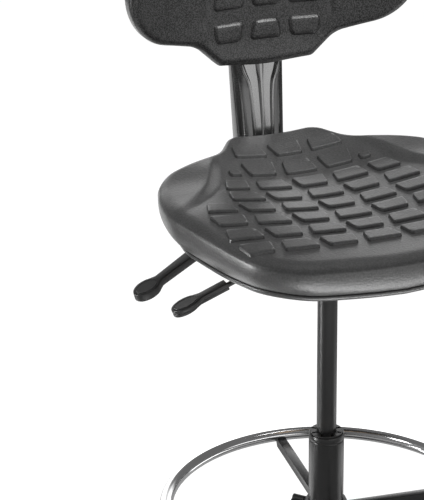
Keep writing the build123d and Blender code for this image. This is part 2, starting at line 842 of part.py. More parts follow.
# Fluted cover round the upright
cover_lean = Vector(0, cover_front - cover_foot_front, cover_shoulder - cover_bottom)
with BuildPart() as upright_cover:
    with BuildSketch(Plane((0, (cover_foot_front + cover_foot_rear) / 2, cover_bottom))):
        RectangleRounded(2 * cover_foot_half_width, cover_foot_rear - cover_foot_front, cover_corner_radius)
    with BuildSketch(Plane((0, (cover_front + cover_rear) / 2, cover_shoulder))):
        RectangleRounded(2 * cover_half_width, cover_rear - cover_front, cover_corner_radius)
    loft()
    with BuildSketch(Plane((0, (cover_neck_front + cover_rear) / 2, cover_shoulder))):
        RectangleRounded(2 * cover_neck_half_width, cover_rear - cover_neck_front, cover_corner_radius)
    extrude(amount=cover_top - cover_shoulder)
    with BuildSketch(Plane((0, cover_neck_front + cover_wall, cover_bottom + cover_cap))):
        Rectangle(
            2 * (cover_foot_half_width - cover_wall),
            cover_foot_rear - cover_neck_front - 2 * cover_wall,
            align=(Align.CENTER, Align.MIN),
        )
    extrude(amount=cover_top - cover_bottom - 2 * cover_cap, mode=Mode.SUBTRACT)
    with BuildSketch(Plane((0, bar_y, cover_bottom))):
        Rectangle(2 * (bar_half_width + slide_gap), bar_thickness + 2 * slide_gap)
    extrude(amount=cover_top - cover_bottom, mode=Mode.SUBTRACT)
    with BuildSketch(Plane((0, cover_foot_front, cover_bottom), x_dir=(1, 0, 0), z_dir=cover_lean)):
        with Locations((-flute_offset, flute_depth - flute_radius), (flute_offset, flute_depth - flute_radius)):
            Circle(flute_radius)
    extrude(amount=cover_lean.length, both=True, mode=Mode.SUBTRACT)
keep(upright_cover, "upright_cover")

# Seat pan, inserts and bolts
with BuildPart() as seat_pan:
    with BuildSketch(Plane.XY.offset(plate_top)):
        with Locations((0, (pan_front + pan_rear) / 2)):
            RectangleRounded(2 * pan_half_width, pan_rear - pan_front, pan_corner_radius)
        with GridLocations(bolt_spacing_x, bolt_spacing_y, 2, 2):
            Circle(insert_radius + fit_gap, mode=Mode.SUBTRACT)
    extrude(amount=pan_thickness)
keep(seat_pan, "seat_pan")

with BuildPart() as seat_inserts:
    with BuildSketch(Plane.XY.offset(plate_top)):
        with GridLocations(bolt_spacing_x, bolt_spacing_y, 2, 2):
            Circle(insert_radius)
            Circle(bolt_radius + fit_gap, mode=Mode.SUBTRACT)
    extrude(amount=pan_thickness)
keep(seat_inserts, "seat_inserts")

with BuildPart() as seat_bolts:
    with BuildSketch(Plane.XY.offset(plate_bottom)):
        with GridLocations(bolt_spacing_x, bolt_spacing_y, 2, 2):
            RegularPolygon(bolt_head_radius, 6)
    extrude(amount=-bolt_head_height)
    with BuildSketch(Plane.XY.offset(plate_bottom)):
        with GridLocations(bolt_spacing_x, bolt_spacing_y, 2, 2):
            Circle(bolt_radius)
    extrude(amount=sheet + pan_thickness)
keep(seat_bolts, "seat_bolts")


def seat_outline(inset):
    """The seat's plan outline as corners and fillet radii, drawn in all round by an inset."""
    right_half = [(0, -seat_front), seat_front_corner, seat_side, seat_shoulder, seat_tail_root, seat_tail_end]
    right_radii = [
        seat_front_radius - inset,
        seat_corner_radius - inset,
        seat_side_radius - inset,
        seat_shoulder_radius - inset,
        seat_root_radius + inset,
        seat_tail_radius - inset,
    ]
    corners = inset_corners(mirrored_outline(right_half), inset)
    return corners, right_radii + right_radii[:0:-1]


def dish_cutter(rise):
    """Everything above the seat's dished top, with that top raised by a height."""
    floor = seat_bottom + seat_saddle + rise
    ceiling = seat_bottom + seat_blank_height
    with BuildPart() as cutter:
        for station_y, station_rise in seat_stations:
            centre = floor + station_rise
            side = centre + seat_dish_rise
            with BuildSketch(Plane.XZ.offset(-station_y)):
                with BuildLine():
                    dish = ThreePointArc(
                        (-seat_dish_half_width, side), (0, centre), (seat_dish_half_width, side)
                    )
                    Polyline(
                        dish @ 1, (seat_dish_half_width, ceiling), (-seat_dish_half_width, ceiling), dish @ 0
                    )
                make_face()
        loft()
    return cutter


# Seat pad: rounded body, dished top, hip lobes outside the crease, raised bricks
lobe_cutter = dish_cutter(lobe_rise)
saddle_cutter = dish_cutter(0)

with BuildSketch() as inside_crease:
    with BuildLine():
        right_crease = ThreePointArc(lobe_crease_end, lobe_crease_middle, lobe_crease_start)
        left_crease = ThreePointArc(
            (-lobe_crease_start[0], lobe_crease_start[1]),
            (-lobe_crease_middle[0], lobe_crease_middle[1]),
            (-lobe_crease_end[0], lobe_crease_end[1]),
        )
        Polyline(
            right_crease @ 1,
            (lobe_crease_start[0], 2 * lobe_crease_start[1]),
            (-lobe_crease_start[0], 2 * lobe_crease_start[1]),
            left_crease @ 0,
        )
        Polyline(
            left_crease @ 1,
            (-lobe_crease_end[0], -2 * seat_front),
            (lobe_crease_end[0], -2 * seat_front),
            right_crease @ 0,
        )
    make_face()

with BuildPart() as saddle_region:
    with BuildSketch(Plane.XY.offset(seat_bottom)):
        add(inside_crease.sketch)
    extrude(amount=seat_blank_height)
    add(saddle_cutter.part, mode=Mode.INTERSECT)

dish_face = saddle_cutter.faces().filter_by(GeomType.BSPLINE).sort_by(Axis.Z)[0]
seat_bricks = []
for row, columns in enumerate(seat_brick_columns):
    row_middle = seat_brick_first + row * brick_pitch_y + brick_depth / 2
    for column in range(-columns, columns + 1):
        upright_line = Axis((column * brick_pitch_x, row_middle, seat_bottom), (0, 0, 1))
        foot, slope = dish_face.find_intersection_points(upright_line)[0]
        lean = slope if slope.Z > 0 else -slope
        with BuildPart() as brick:
            with BuildSketch(Plane(origin=foot + lean * brick_height, x_dir=(1, 0, 0), z_dir=lean)):
                Trapezoid(brick_long_edge, brick_depth, brick_side_angle, rotation=180 * ((row + column) % 2))
            extrude(amount=-brick_height - brick_root)
        seat_bricks.append(brick.part)

with BuildPart() as seat_pad:
    for level, inset in seat_levels:
        corners, radii = seat_outline(inset)
        with BuildSketch(Plane.XY.offset(seat_bottom + level)):
            with BuildLine():
                FilletPolyline(*corners, radius=radii, close=True)
            make_face()
    loft()
    add(lobe_cutter.part, mode=Mode.SUBTRACT)
    add(saddle_region.part, mode=Mode.SUBTRACT)
    add(seat_bricks)
    with BuildSketch(Plane.XY.offset(plate_top)):
        with Locations((0, (pan_front + pan_rear) / 2)):
            RectangleRounded(
                2 * (pan_half_width + fit_gap),
                pan_rear - pan_front + 2 * fit_gap,
                pan_corner_radius + fit_gap,
            )
    extrude(amount=pan_thickness, mode=Mode.SUBTRACT)
keep(seat_pad, "seat_pad")

# Backrest pad: curved plate with a tail, wing grooves, raised bricks and a channel for the bar
back_corners = mirrored_outline(
    [
        (0, 0),
        (back_tail_half_width, 0),
        back_tail_root,
        back_side,
        (back_top_half_width, back_height),
        (0, back_height),
    ]
)
back_corners = [corner for corner in back_corners if corner[0] != 0]
back_right_radii = [back_tail_radius, back_root_radius, back_side_radius, back_top_radius]
back_radii = back_right_radii + back_right_radii[::-1]
with BuildPart() as backrest_pad:
    with BuildSketch(Plane.XZ.offset(-back_front - back_blank_depth / 2)):
        with BuildLine():
            FilletPolyline(
                *[(x, back_bottom + z) for x, z in back_corners], radius=back_radii, close=True
            )
        make_face()
    extrude(amount=back_blank_depth)
    with BuildSketch(Plane((0, back_axis_y, back_bottom))):
        Circle(back_curve_radius + back_thickness)
        Circle(back_curve_radius, mode=Mode.SUBTRACT)
    extrude(amount=back_height, mode=Mode.INTERSECT)
    fillet(backrest_pad.edges().filter_by(Axis.Y, reverse=True), radius=back_edge_radius)
    with BuildSketch(Plane((0, back_axis_y, back_bottom + wing_groove_foot))):
        for side in (-1, 1):
            groove_angle = radians(90 - side * degrees(atan2(wing_groove_x, back_curve_radius)))
            groove_reach = back_curve_radius - wing_groove_radius + wing_groove_depth
            with Locations((groove_reach * cos(groove_angle), groove_reach * sin(groove_angle))):
                Circle(wing_groove_radius)
    extrude(amount=back_height, mode=Mode.SUBTRACT)
    with BuildSketch(Plane((0, channel_face, back_bottom))):
        Rectangle(2 * channel_half_width, back_thickness, align=(Align.CENTER, Align.MIN))
    extrude(amount=back_height - channel_top_margin, mode=Mode.SUBTRACT)
    with BuildSketch(Plane.XZ.offset(-channel_face)):
        with Locations((0, back_plate_middle)):
            with GridLocations(back_screw_spacing_x, back_screw_spacing_z, 2, 2):
                Circle(back_screw_radius + fit_gap)
    extrude(amount=back_screw_length + slide_gap, mode=Mode.SUBTRACT)

with BuildPart() as back_bricks:
    with BuildSketch(Plane.XZ.offset(-back_front - brick_root)):
        for row, (foot, height) in enumerate(back_brick_rows):
            for column in range(-back_brick_columns, back_brick_columns + 1):
                with Locations((column * brick_pitch_x, back_bottom + foot + height / 2)):
                    Trapezoid(brick_long_edge, height, brick_side_angle, rotation=180 * ((row + column) % 2))
    extrude(amount=2 * back_thickness)
    with BuildSketch(Plane((0, back_axis_y, back_bottom))):
        Circle(back_curve_radius + back_thickness)
        Circle(back_curve_radius - brick_height, mode=Mode.SUBTRACT)
    extrude(amount=back_height, mode=Mode.INTERSECT)

with BuildPart() as backrest:
    add(backrest_pad.part)
    add(back_bricks.part)
keep(backrest, "backrest_pad")

# Backrest plate, carriage, liners and screws
with BuildPart() as back_plate:
    with BuildSketch(Plane.XZ.offset(-channel_face)):
        with Locations((0, back_plate_middle)):
            Rectangle(2 * back_plate_half_width, back_plate_height)
        with Locations((0, back_plate_middle)):
            with GridLocations(back_screw_spacing_x, back_screw_spacing_z, 2, 2):
                Circle(back_screw_radius + fit_gap, mode=Mode.SUBTRACT)
    extrude(amount=-carriage_wall)
keep(back_plate, "back_plate")

with BuildPart() as back_carriage:
    with BuildSketch(Plane.XY.offset(carriage_bottom)):
        with Locations((0, back_plate_rear)):
            Rectangle(
                2 * (carriage_inner + carriage_wall),
                carriage_rear - back_plate_rear,
                align=(Align.CENTER, Align.MIN),
            )
            Rectangle(
                2 * carriage_inner,
                carriage_rear - back_plate_rear - carriage_wall,
                align=(Align.CENTER, Align.MIN),
                mode=Mode.SUBTRACT,
            )
    extrude(amount=carriage_height)
    with BuildSketch(Plane.XZ.offset(-carriage_rear)):
        with Locations((0, back_plate_middle)):
            Circle(stud_radius + fit_gap)
    extrude(amount=2 * carriage_wall, mode=Mode.SUBTRACT)
keep(back_carriage, "back_carriage")

with BuildPart() as liner_front:
    with BuildSketch(Plane.XY.offset(carriage_bottom)):
        with Locations((0, back_plate_rear)):
            Rectangle(
                2 * (carriage_inner - fit_gap),
                bar_front - slide_gap - back_plate_rear,
                align=(Align.CENTER, Align.MIN),
            )
    extrude(amount=carriage_height)
keep(liner_front, "liner_front")

with BuildPart() as liner_rear:
    with BuildSketch(Plane.XY.offset(carriage_bottom)):
        with Locations((0, bar_rear + slide_gap)):
            Rectangle(
                2 * (carriage_inner - fit_gap),
                carriage_rear - carriage_wall - bar_rear - slide_gap,
                align=(Align.CENTER, Align.MIN),
            )
    extrude(amount=carriage_height)
    with BuildSketch(Plane.XZ.offset(-carriage_rear)):
        with Locations((0, back_plate_middle)):
            Circle(stud_radius + slide_gap)
    extrude(amount=2 * bar_thickness, mode=Mode.SUBTRACT)
keep(liner_rear, "liner_rear")

with BuildPart() as back_screws:
    with BuildSketch(Plane.XZ.offset(-back_plate_rear)):
        with Locations((0, back_plate_middle)):
            with GridLocations(back_screw_spacing_x, back_screw_spacing_z, 2, 2):
                Circle(back_screw_head_radius)
    extrude(amount=-back_screw_head_height)
    with BuildSketch(Plane.XZ.offset(-back_plate_rear)):
        with Locations((0, back_plate_middle)):
            with GridLocations(back_screw_spacing_x, back_screw_spacing_z, 2, 2):
                Circle(back_screw_radius)
    extrude(amount=carriage_wall + back_screw_length)
keep(back_screws, "back_screws")

# Backrest clamp knob and stud
back_knob_plane = Plane(origin=(0, carriage_rear + knob_stand, back_plate_middle), z_dir=(0, 1, 0))
back_knob = lobed_knob(back_knob_plane)
keep(back_knob, "back_knob")

with BuildPart() as back_knob_stud:
    with BuildSketch(Plane(origin=(0, bar_rear + slide_gap, back_plate_middle), z_dir=(0, 1, 0))):
        Circle(stud_radius)
    extrude(amount=carriage_rear + knob_stand + stud_in_knob - bar_rear - 2 * slide_gap)
keep(back_knob_stud, "back_knob_stud")

# Foot ring, spokes and collar
with BuildPart() as foot_ring:
    with BuildSketch(Plane.XZ):
        with Locations((ring_radius, ring_height)):
            Circle(ring_tube_radius)
    revolve(axis=Axis.Z)
keep(foot_ring, "foot_ring")

spoke_top = ring_height - ring_tube_radius + spoke_saddle
for number in range(spoke_count):
    angle = radians(first_spoke_angle + number * 360 / spoke_count)
    outward = (cos(angle), sin(angle), 0)
    with BuildPart() as spoke:
        with BuildSketch(Plane(origin=(0, 0, spoke_top - spoke_depth / 2), x_dir=(0, 0, 1), z_dir=outward)):
            Rectangle(spoke_depth, spoke_width)
        extrude(amount=ring_radius + spoke_end_past)
        with BuildSketch(Plane.XY.offset(spoke_top - spoke_depth)):
            Circle(collar_radius + fit_gap)
        extrude(amount=spoke_depth, mode=Mode.SUBTRACT)
        with BuildSketch(Plane.XZ):
            with Locations((ring_radius, ring_height)):
                Circle(ring_tube_radius + fit_gap)
        revolve(axis=Axis.Z, mode=Mode.SUBTRACT)
    keep(spoke, f"foot_ring_spoke_{number + 1}")

sleeve_radius = column_radius + fit_gap + collar_sleeve_wall
collar_bottom = ring_height - collar_drop
collar_top = ring_height + collar_rise
ring_knob_axis = (cos(radians(ring_knob_angle)), sin(radians(ring_knob_angle)), 0)
ring_knob_centre = Plane(origin=(0, 0, ring_height - ring_knob_drop), z_dir=ring_knob_axis)
with BuildPart() as foot_ring_collar:
    with BuildSketch(Plane.XZ):
        with BuildLine():
            Polyline(
                (sleeve_radius + fit_gap, collar_bottom),
                (collar_radius, collar_bottom),
                (collar_radius, ring_height),
                (collar_tip_radius, collar_top),
                (sleeve_radius + fit_gap, collar_top),
                close=True,
            )
        make_face()
    revolve(axis=Axis.Z)
    with BuildSketch(ring_knob_centre):
        Circle(stud_radius + fit_gap)
    extrude(amount=2 * collar_radius, mode=Mode.SUBTRACT)
keep(foot_ring_collar, "foot_ring_collar")

with BuildPart() as collar_sleeve:
    with BuildSketch(Plane.XY.offset(collar_bottom)):
        Circle(sleeve_radius)
        Circle(column_radius + fit_gap, mode=Mode.SUBTRACT)
    extrude(amount=collar_top - collar_bottom)
    with BuildSketch(ring_knob_centre):
        Circle(stud_radius + slide_gap)
    extrude(amount=2 * collar_radius, mode=Mode.SUBTRACT)
keep(collar_sleeve, "collar_sleeve")

ring_knob = lobed_knob(ring_knob_centre.offset(collar_radius + knob_stand))
keep(ring_knob, "ring_knob")

with BuildPart() as ring_knob_stud:
    with BuildSketch(ring_knob_centre.offset(column_radius + slide_gap)):
        Circle(stud_radius)
    extrude(amount=collar_radius + knob_stand + stud_in_knob - column_radius - 2 * slide_gap)
keep(ring_knob_stud, "ring_knob_stud")
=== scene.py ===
"""Looks of the work stool: moulded pads, levers, column and foot ring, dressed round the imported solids.

Sizes are in millimetres and become metres in the meshes. +Z is up and the sitter faces -Y.
"""

import json
import logging
import math
from dataclasses import dataclass
from enum import Enum
from typing import Any, Sequence

import bmesh
import bpy
import numpy as np
from mathutils import Matrix, Vector


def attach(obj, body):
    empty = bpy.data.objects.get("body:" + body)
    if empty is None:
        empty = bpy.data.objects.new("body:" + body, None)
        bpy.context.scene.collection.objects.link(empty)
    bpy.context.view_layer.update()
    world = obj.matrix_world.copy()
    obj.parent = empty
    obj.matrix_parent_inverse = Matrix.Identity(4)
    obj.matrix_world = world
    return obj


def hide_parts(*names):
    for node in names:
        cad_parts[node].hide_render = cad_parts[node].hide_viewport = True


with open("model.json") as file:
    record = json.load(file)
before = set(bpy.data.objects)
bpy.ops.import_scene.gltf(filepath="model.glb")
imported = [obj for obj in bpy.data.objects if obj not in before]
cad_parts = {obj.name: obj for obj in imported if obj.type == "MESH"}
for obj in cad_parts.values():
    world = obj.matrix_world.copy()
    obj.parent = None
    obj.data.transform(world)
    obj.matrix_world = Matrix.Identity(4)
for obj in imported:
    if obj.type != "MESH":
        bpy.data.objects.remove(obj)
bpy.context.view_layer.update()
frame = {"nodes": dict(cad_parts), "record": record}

LOG = logging.getLogger("work_stool")
# Metres in a millimetre, and square centimetres in a square metre
MM = 0.001
SQUARE_CM = 1.0e4
# Vertices nearer than this many millimetres become one
MERGE_GAP = 0.001
# Faces across the rounding of a plan corner and of a small edge
CORNER_STEPS = 14
EDGE_STEPS = 3
# The first loop of a pad, as a share of the way from its middle to its edge
FIRST_LOOP = 0.02
TINY = 1e-6
NOISE_MEAN = 0.5
NOISE_ROUGHNESS = 0.55
PLASTIC_IOR = 1.50
WHITE = (1.0, 1.0, 1.0, 1.0)
Span = tuple[float, float]
Point = tuple[float, float, float]
Curve = Sequence[Span]


class Slot(Enum):
    """The record's material slots, which give pieces and solids their finish."""

    SKIN = "skin_foam"
    NYLON = "black_nylon"
    STEEL = "black_steel"
    CHROME = "chrome"
    BRIGHT = "bright_steel"
    RUBBER = "buffer_rubber"
    PLY = "plywood"


# Shader building


class Value:
    """A shader socket whose arithmetic adds Math nodes to its tree."""

    def __init__(self, maker: "ShaderMaker", link: bpy.types.NodeSocket) -> None:
        """Keep the socket and the maker of its tree."""
        self.maker = maker
        self.link = link

    def _math(self, operation: str, first: Any, second: Any) -> "Value":
        """Add one Math node.

        Args:
            operation: Blender's name of the operation.
            first: A Value or a number for the upper socket.
            second: A Value or a number for the lower socket.

        Returns:
            The node's result.
        """
        return self.maker.node("ShaderNodeMath", {"operation": operation}, {0: first, 1: second})

    def __add__(self, other: Any) -> "Value":
        """Add a number or another value."""
        return self._math("ADD", self, other)

    def __radd__(self, other: Any) -> "Value":
        """Add this value to a number."""
        return self._math("ADD", other, self)

    def __sub__(self, other: Any) -> "Value":
        """Subtract a number or another value."""
        return self._math("SUBTRACT", self, other)

    def __rsub__(self, other: Any) -> "Value":
        """Subtract this value from a number."""
        return self._math("SUBTRACT", other, self)

    def __mul__(self, other: Any) -> "Value":
        """Multiply by a number or another value."""
        return self._math("MULTIPLY", self, other)

    def __rmul__(self, other: Any) -> "Value":
        """Multiply a number by this value."""
        return self._math("MULTIPLY", other, self)

    def ramp(self, low: float, high: float) -> "Value":
        """Map a span to 0..1 with soft ends.

        Args:
            low: The value that gives 0.
            high: The value that gives 1.

        Returns:
            The mapped value.
        """
        settings = {"interpolation_type": "SMOOTHSTEP"}
        inputs = {"Value": self, "From Min": low, "From Max": high}
        return self.maker.node("ShaderNodeMapRange", settings, inputs)


class ShaderMaker:
    """Builds one node tree through a single node method."""

    def __init__(self, tree: bpy.types.NodeTree) -> None:
        """Empty the tree and keep it."""
        self.tree = tree
        tree.nodes.clear()

    def raw(self, kind: str, settings: dict[str, Any], inputs: dict[Any, Any]) -> bpy.types.Node:
        """Add a node.

        Args:
            kind: The node's type name.
            settings: The node's own properties, set first.
            inputs: Values or links by socket name or number.

        Returns:
            The new node.
        """
        made = self.tree.nodes.new(kind)
        for name, setting in settings.items():
            setattr(made, name, setting)
        for key, given in inputs.items():
            socket = made.inputs[key]
            if isinstance(given, Value):
                self.tree.links.new(given.link, socket)
            else:
                socket.default_value = given
        return made

    def node(
        self, kind: str, settings: dict[str, Any], inputs: dict[Any, Any], output: Any = 0
    ) -> Value:
        """Add a node and return one of its outputs.

        Args:
            kind: The node's type name.
            settings: The node's own properties, set first.
            inputs: Values or links by socket name or number.
            output: The name or number of the output that is wanted.

        Returns:
            That output as a Value.
        """
        return Value(self, self.raw(kind, settings, inputs).outputs[output])

    def coordinates(self) -> Value:
        """The Object coordinates, in metres."""
        return self.node("ShaderNodeTexCoord", {}, {}, "Object")

    def noise(self, scale: float, detail: float, where: Value | None = None) -> Value:
        """A noise pattern.

        Args:
            scale: Repeats to the metre.
            detail: How many finer layers it has.
            where: The coordinates, or None for the Object ones.

        Returns:
            The noise, about 0.5 on average.
        """
        spot = where or self.coordinates()
        inputs = {"Vector": spot, "Scale": scale, "Detail": detail, "Roughness": NOISE_ROUGHNESS}
        return self.node("ShaderNodeTexNoise", {}, inputs, "Fac")

    def axes(self, where: Value) -> list[Value]:
        """Split coordinates into X, Y and Z."""
        parts = self.raw("ShaderNodeSeparateXYZ", {}, {"Vector": where})
        return [Value(self, parts.outputs[axis]) for axis in "XYZ"]

    def ray(self, kind: str) -> Value:
        """1 for rays of a kind, such as Camera or Glossy, and 0 for the others."""
        return self.node("ShaderNodeLightPath", {}, {}, f"Is {kind} Ray")

    def stretched(self, scale: Point) -> Value:
        """Object coordinates drawn out differently along each axis."""
        return self.node("ShaderNodeMapping", {}, {"Vector": self.coordinates(), "Scale": scale})

    def blend(self, factor: Value, first: tuple[float, ...], second: tuple[float, ...]) -> Value:
        """Mix two colours by a factor.

        Args:
            factor: 0 for the first colour, 1 for the second.
            first: Red, green and blue.
            second: Red, green and blue.

        Returns:
            The mixed colour.
        """
        settings = {"data_type": "RGBA"}
        inputs = {"Factor": factor, 6: (*first, 1.0), 7: (*second, 1.0)}
        return self.node("ShaderNodeMix", settings, inputs, 2)

    def bump(self, height: Value, strength: float, distance: float) -> Value:
        """A normal from a height pattern.

        Args:
            height: The pattern.
            strength: How strongly it shows.
            distance: The pattern's depth in metres.

        Returns:
            The normal.
        """
        inputs = {"Height": height, "Strength": strength, "Distance": distance}
        return self.node("ShaderNodeBump", {}, inputs, "Normal")


def grey(level: float, blue: float = 0.0) -> tuple[float, float, float]:
    """A neutral colour with an optional lean to blue."""
    return (level, level, level + blue)


@dataclass(frozen=True)
class Finish:
    """A finish with one Principled shader, whose kinds add their own patterns."""

    name: str

    def dress(self, maker: ShaderMaker) -> dict[str, Any]:
        """Add the finish's patterns and give the shader's socket values."""
        raise NotImplementedError

    def material(self) -> bpy.types.Material:
        """Build the material.

        Returns:
            The material.
        """
        material = bpy.data.materials.new(self.name)
        material.use_nodes = True
        maker = ShaderMaker(material.node_tree)
        shader = maker.node("ShaderNodeBsdfPrincipled", {}, self.dress(maker))
        maker.raw("ShaderNodeOutputMaterial", {}, {"Surface": shader})
        return material


@dataclass(frozen=True)
class MouldedSkin(Finish):
    """Self-skinned foam: near black, satin, with a fine pebbled grain."""

    name: str = "moulded_skin"
    tone: float = 0.050
    tone_spread: float = 0.036
    roughness: float = 0.29
    roughness_spread: float = 0.10
    pebble_scale: float = 330.0
    pebble_softness: float = 0.6
    pebble_roughness: float = 0.10
    grain_scale: float = 420.0
    cloud_scale: float = 16.0
    cloud_share: float = 0.5
    shade_lift: float = 0.25
    shade_span: Span = (0.2, 0.8)
    bump_shares: Span = (0.6, 0.7)
    bump_strength: float = 0.55
    bump_depth: float = 0.00055
    speckle: float = 0.9

    def dress(self, maker: ShaderMaker) -> dict[str, Any]:
        """Lay out the skin's patterns.

        Args:
            maker: The material's tree.

        Returns:
            The shader's socket values.
        """
        pebbles = maker.node(
            "ShaderNodeTexVoronoi",
            {"feature": "SMOOTH_F1"},
            {"Vector": maker.coordinates(), "Scale": self.pebble_scale, "Smoothness": self.pebble_softness},
            "Distance",
        )
        grain = maker.noise(self.grain_scale, 2.0)
        clouds = maker.noise(self.cloud_scale, 3.0)
        shade = clouds * self.cloud_share + (grain - NOISE_MEAN) * self.speckle + self.shade_lift
        rough = (clouds - NOISE_MEAN) * self.roughness_spread + pebbles * self.pebble_roughness
        relief = pebbles * self.bump_shares[0] + grain * self.bump_shares[1]
        dark, light = grey(self.tone), grey(self.tone + self.tone_spread)
        return {
            "Base Color": maker.blend(shade.ramp(*self.shade_span), dark, light),
            "Roughness": self.roughness + rough,
            "Normal": maker.bump(relief, self.bump_strength, self.bump_depth),
            "IOR": PLASTIC_IOR,
        }


@dataclass(frozen=True)
class SatinPaint(Finish):
    """Baked black paint on steel with a slight orange peel and worn specks."""

    name: str = "satin_paint"
    tone: float = 0.022
    tone_spread: float = 0.016
    roughness: float = 0.30
    dust_roughness: float = 0.12
    speck_roughness: float = 0.08
    peel_scale: float = 420.0
    speck_scale: float = 2600.0
    speck_span: Span = (0.55, 0.75)
    dust_scale: float = 24.0
    wear_shares: Span = (0.6, 0.4)
    bump_strength: float = 0.35
    bump_depth: float = 0.00008

    def dress(self, maker: ShaderMaker) -> dict[str, Any]:
        """Lay out the paint's patterns.

        Args:
            maker: The material's tree.

        Returns:
            The shader's socket values.
        """
        peel = maker.noise(self.peel_scale, 1.0)
        speck = maker.noise(self.speck_scale, 1.0).ramp(*self.speck_span)
        dust = maker.noise(self.dust_scale, 3.0)
        wear = speck * self.wear_shares[0] + dust * self.wear_shares[1]
        rough = self.roughness + (dust - NOISE_MEAN) * self.dust_roughness + speck * self.speck_roughness
        return {
            "Base Color": maker.blend(wear, grey(self.tone), grey(self.tone + self.tone_spread)),
            "Roughness": rough,
            "Normal": maker.bump(peel, self.bump_strength, self.bump_depth),
            "IOR": PLASTIC_IOR,
        }


@dataclass(frozen=True)
class MouldedNylon(Finish):
    """Glass-filled black nylon with a spark-eroded mould texture and faint flow marks."""

    name: str = "moulded_nylon"
    tone: float = 0.020
    tone_spread: float = 0.014
    roughness: float = 0.42
    flow_roughness: float = 0.18
    texture_roughness: float = 0.10
    texture_scale: float = 1300.0
    flow_stretch: Point = (30.0, 30.0, 7.0)
    shade_shares: Span = (0.6, 0.4)
    shade_span: Span = (0.3, 0.7)
    bump_strength: float = 0.4
    bump_depth: float = 0.00016
    polish_half: float = 0.0
    polish_fade: float = 0.006
    polish_bending: float = 2.6
    polish_roughness: float = 0.20

    def dress(self, maker: ShaderMaker) -> dict[str, Any]:
        """Lay out the nylon's patterns, with a polished strip up its middle where that has a width.

        Args:
            maker: The material's tree.

        Returns:
            The shader's socket values.
        """
        texture = maker.noise(self.texture_scale, 3.0)
        flow = maker.noise(1.0, 3.0, maker.stretched(self.flow_stretch))
        shade = (flow * self.shade_shares[0] + texture * self.shade_shares[1]).ramp(*self.shade_span)
        streaked = (flow - NOISE_MEAN) * self.flow_roughness
        pitted = (texture - NOISE_MEAN) * self.texture_roughness
        sockets = {
            "Base Color": maker.blend(shade, grey(self.tone), grey(self.tone + self.tone_spread)),
            "Roughness": self.roughness + streaked + pitted,
            "Normal": maker.bump(texture, self.bump_strength, self.bump_depth),
            "IOR": PLASTIC_IOR,
        }
        if self.polish_half:
            across = maker.axes(maker.coordinates())[0]
            inner = self.polish_half**2 * SQUARE_CM
            outer = (self.polish_half + self.polish_fade) ** 2 * SQUARE_CM
            sockets["Coat Weight"] = 1.0 - (across * across * SQUARE_CM).ramp(inner, outer)
            sockets["Coat IOR"] = self.polish_bending
            sockets["Coat Roughness"] = self.polish_roughness
        return sockets


@dataclass(frozen=True)
class PolishedChrome(Finish):
    """Bright chrome plate with faint haze and polishing lines."""

    name: str = "polished_chrome"
    tone: float = 0.80
    tone_drop: float = 0.05
    blue: float = 0.01
    roughness: float = 0.07
    haze_roughness: float = 0.05
    line_roughness: float = 0.03
    haze_scale: float = 18.0
    haze_span: Span = (0.3, 0.7)
    line_stretch: Point = (60.0, 60.0, 900.0)
    bump_strength: float = 0.05
    bump_depth: float = 0.00003

    def dress(self, maker: ShaderMaker) -> dict[str, Any]:
        """Lay out the chrome's patterns.

        Args:
            maker: The material's tree.

        Returns:
            The shader's socket values.
        """
        haze = maker.noise(self.haze_scale, 4.0)
        lines = maker.noise(1.0, 2.0, maker.stretched(self.line_stretch))
        dull, bright = grey(self.tone - self.tone_drop), grey(self.tone, self.blue)
        return {
            "Base Color": maker.blend(haze.ramp(*self.haze_span), dull, bright),
            "Metallic": 1.0,
            "Roughness": self.roughness + haze * self.haze_roughness + lines * self.line_roughness,
            "Normal": maker.bump(lines, self.bump_strength, self.bump_depth),
        }


@dataclass(frozen=True)
class ZincSteel(Finish):
    """Zinc-plated or ground steel with fine streaks."""

    name: str = "zinc_steel"
    tone: float = 0.52
    tone_drop: float = 0.12
    blue: float = 0.015
    roughness: float = 0.34
    streak_roughness: float = 0.2
    spangle_roughness: float = 0.1
    streak_stretch: Point = (900.0, 900.0, 60.0)
    spangle_scale: float = 90.0
    spangle_span: Span = (0.3, 0.7)
    bump_strength: float = 0.15
    bump_depth: float = 0.00004

    def dress(self, maker: ShaderMaker) -> dict[str, Any]:
        """Lay out the steel's patterns.

        Args:
            maker: The material's tree.

        Returns:
            The shader's socket values.
        """
        streaks = maker.noise(1.0, 3.0, maker.stretched(self.streak_stretch))
        spangle = maker.noise(self.spangle_scale, 2.0)
        dull, bright = grey(self.tone - self.tone_drop), grey(self.tone, self.blue)
        ground = (streaks - NOISE_MEAN) * self.streak_roughness
        plated = (spangle - NOISE_MEAN) * self.spangle_roughness
        return {
            "Base Color": maker.blend(spangle.ramp(*self.spangle_span), dull, bright),
            "Metallic": 1.0,
            "Roughness": self.roughness + ground + plated,
            "Normal": maker.bump(streaks, self.bump_strength, self.bump_depth),
        }


@dataclass(frozen=True)
class BufferRubber(Finish):
    """Matt black rubber."""

    name: str = "buffer_rubber"
    tone: float = 0.018
    bloom_tone: float = 2.2
    bloom_scale: float = 120.0
    bloom_span: Span = (0.35, 0.75)
    roughness: float = 0.72
    bloom_roughness: float = 0.2
    bump_strength: float = 0.3
    bump_depth: float = 0.00010

    def dress(self, maker: ShaderMaker) -> dict[str, Any]:
        """Lay out the rubber's patterns.

        Args:
            maker: The material's tree.

        Returns:
            The shader's socket values.
        """
        bloom = maker.noise(self.bloom_scale, 4.0)
        dark, light = grey(self.tone), grey(self.tone * self.bloom_tone)
        return {
            "Base Color": maker.blend(bloom.ramp(*self.bloom_span), dark, light),
            "Roughness": self.roughness + bloom * self.bloom_roughness,
            "Normal": maker.bump(bloom, self.bump_strength, self.bump_depth),
        }


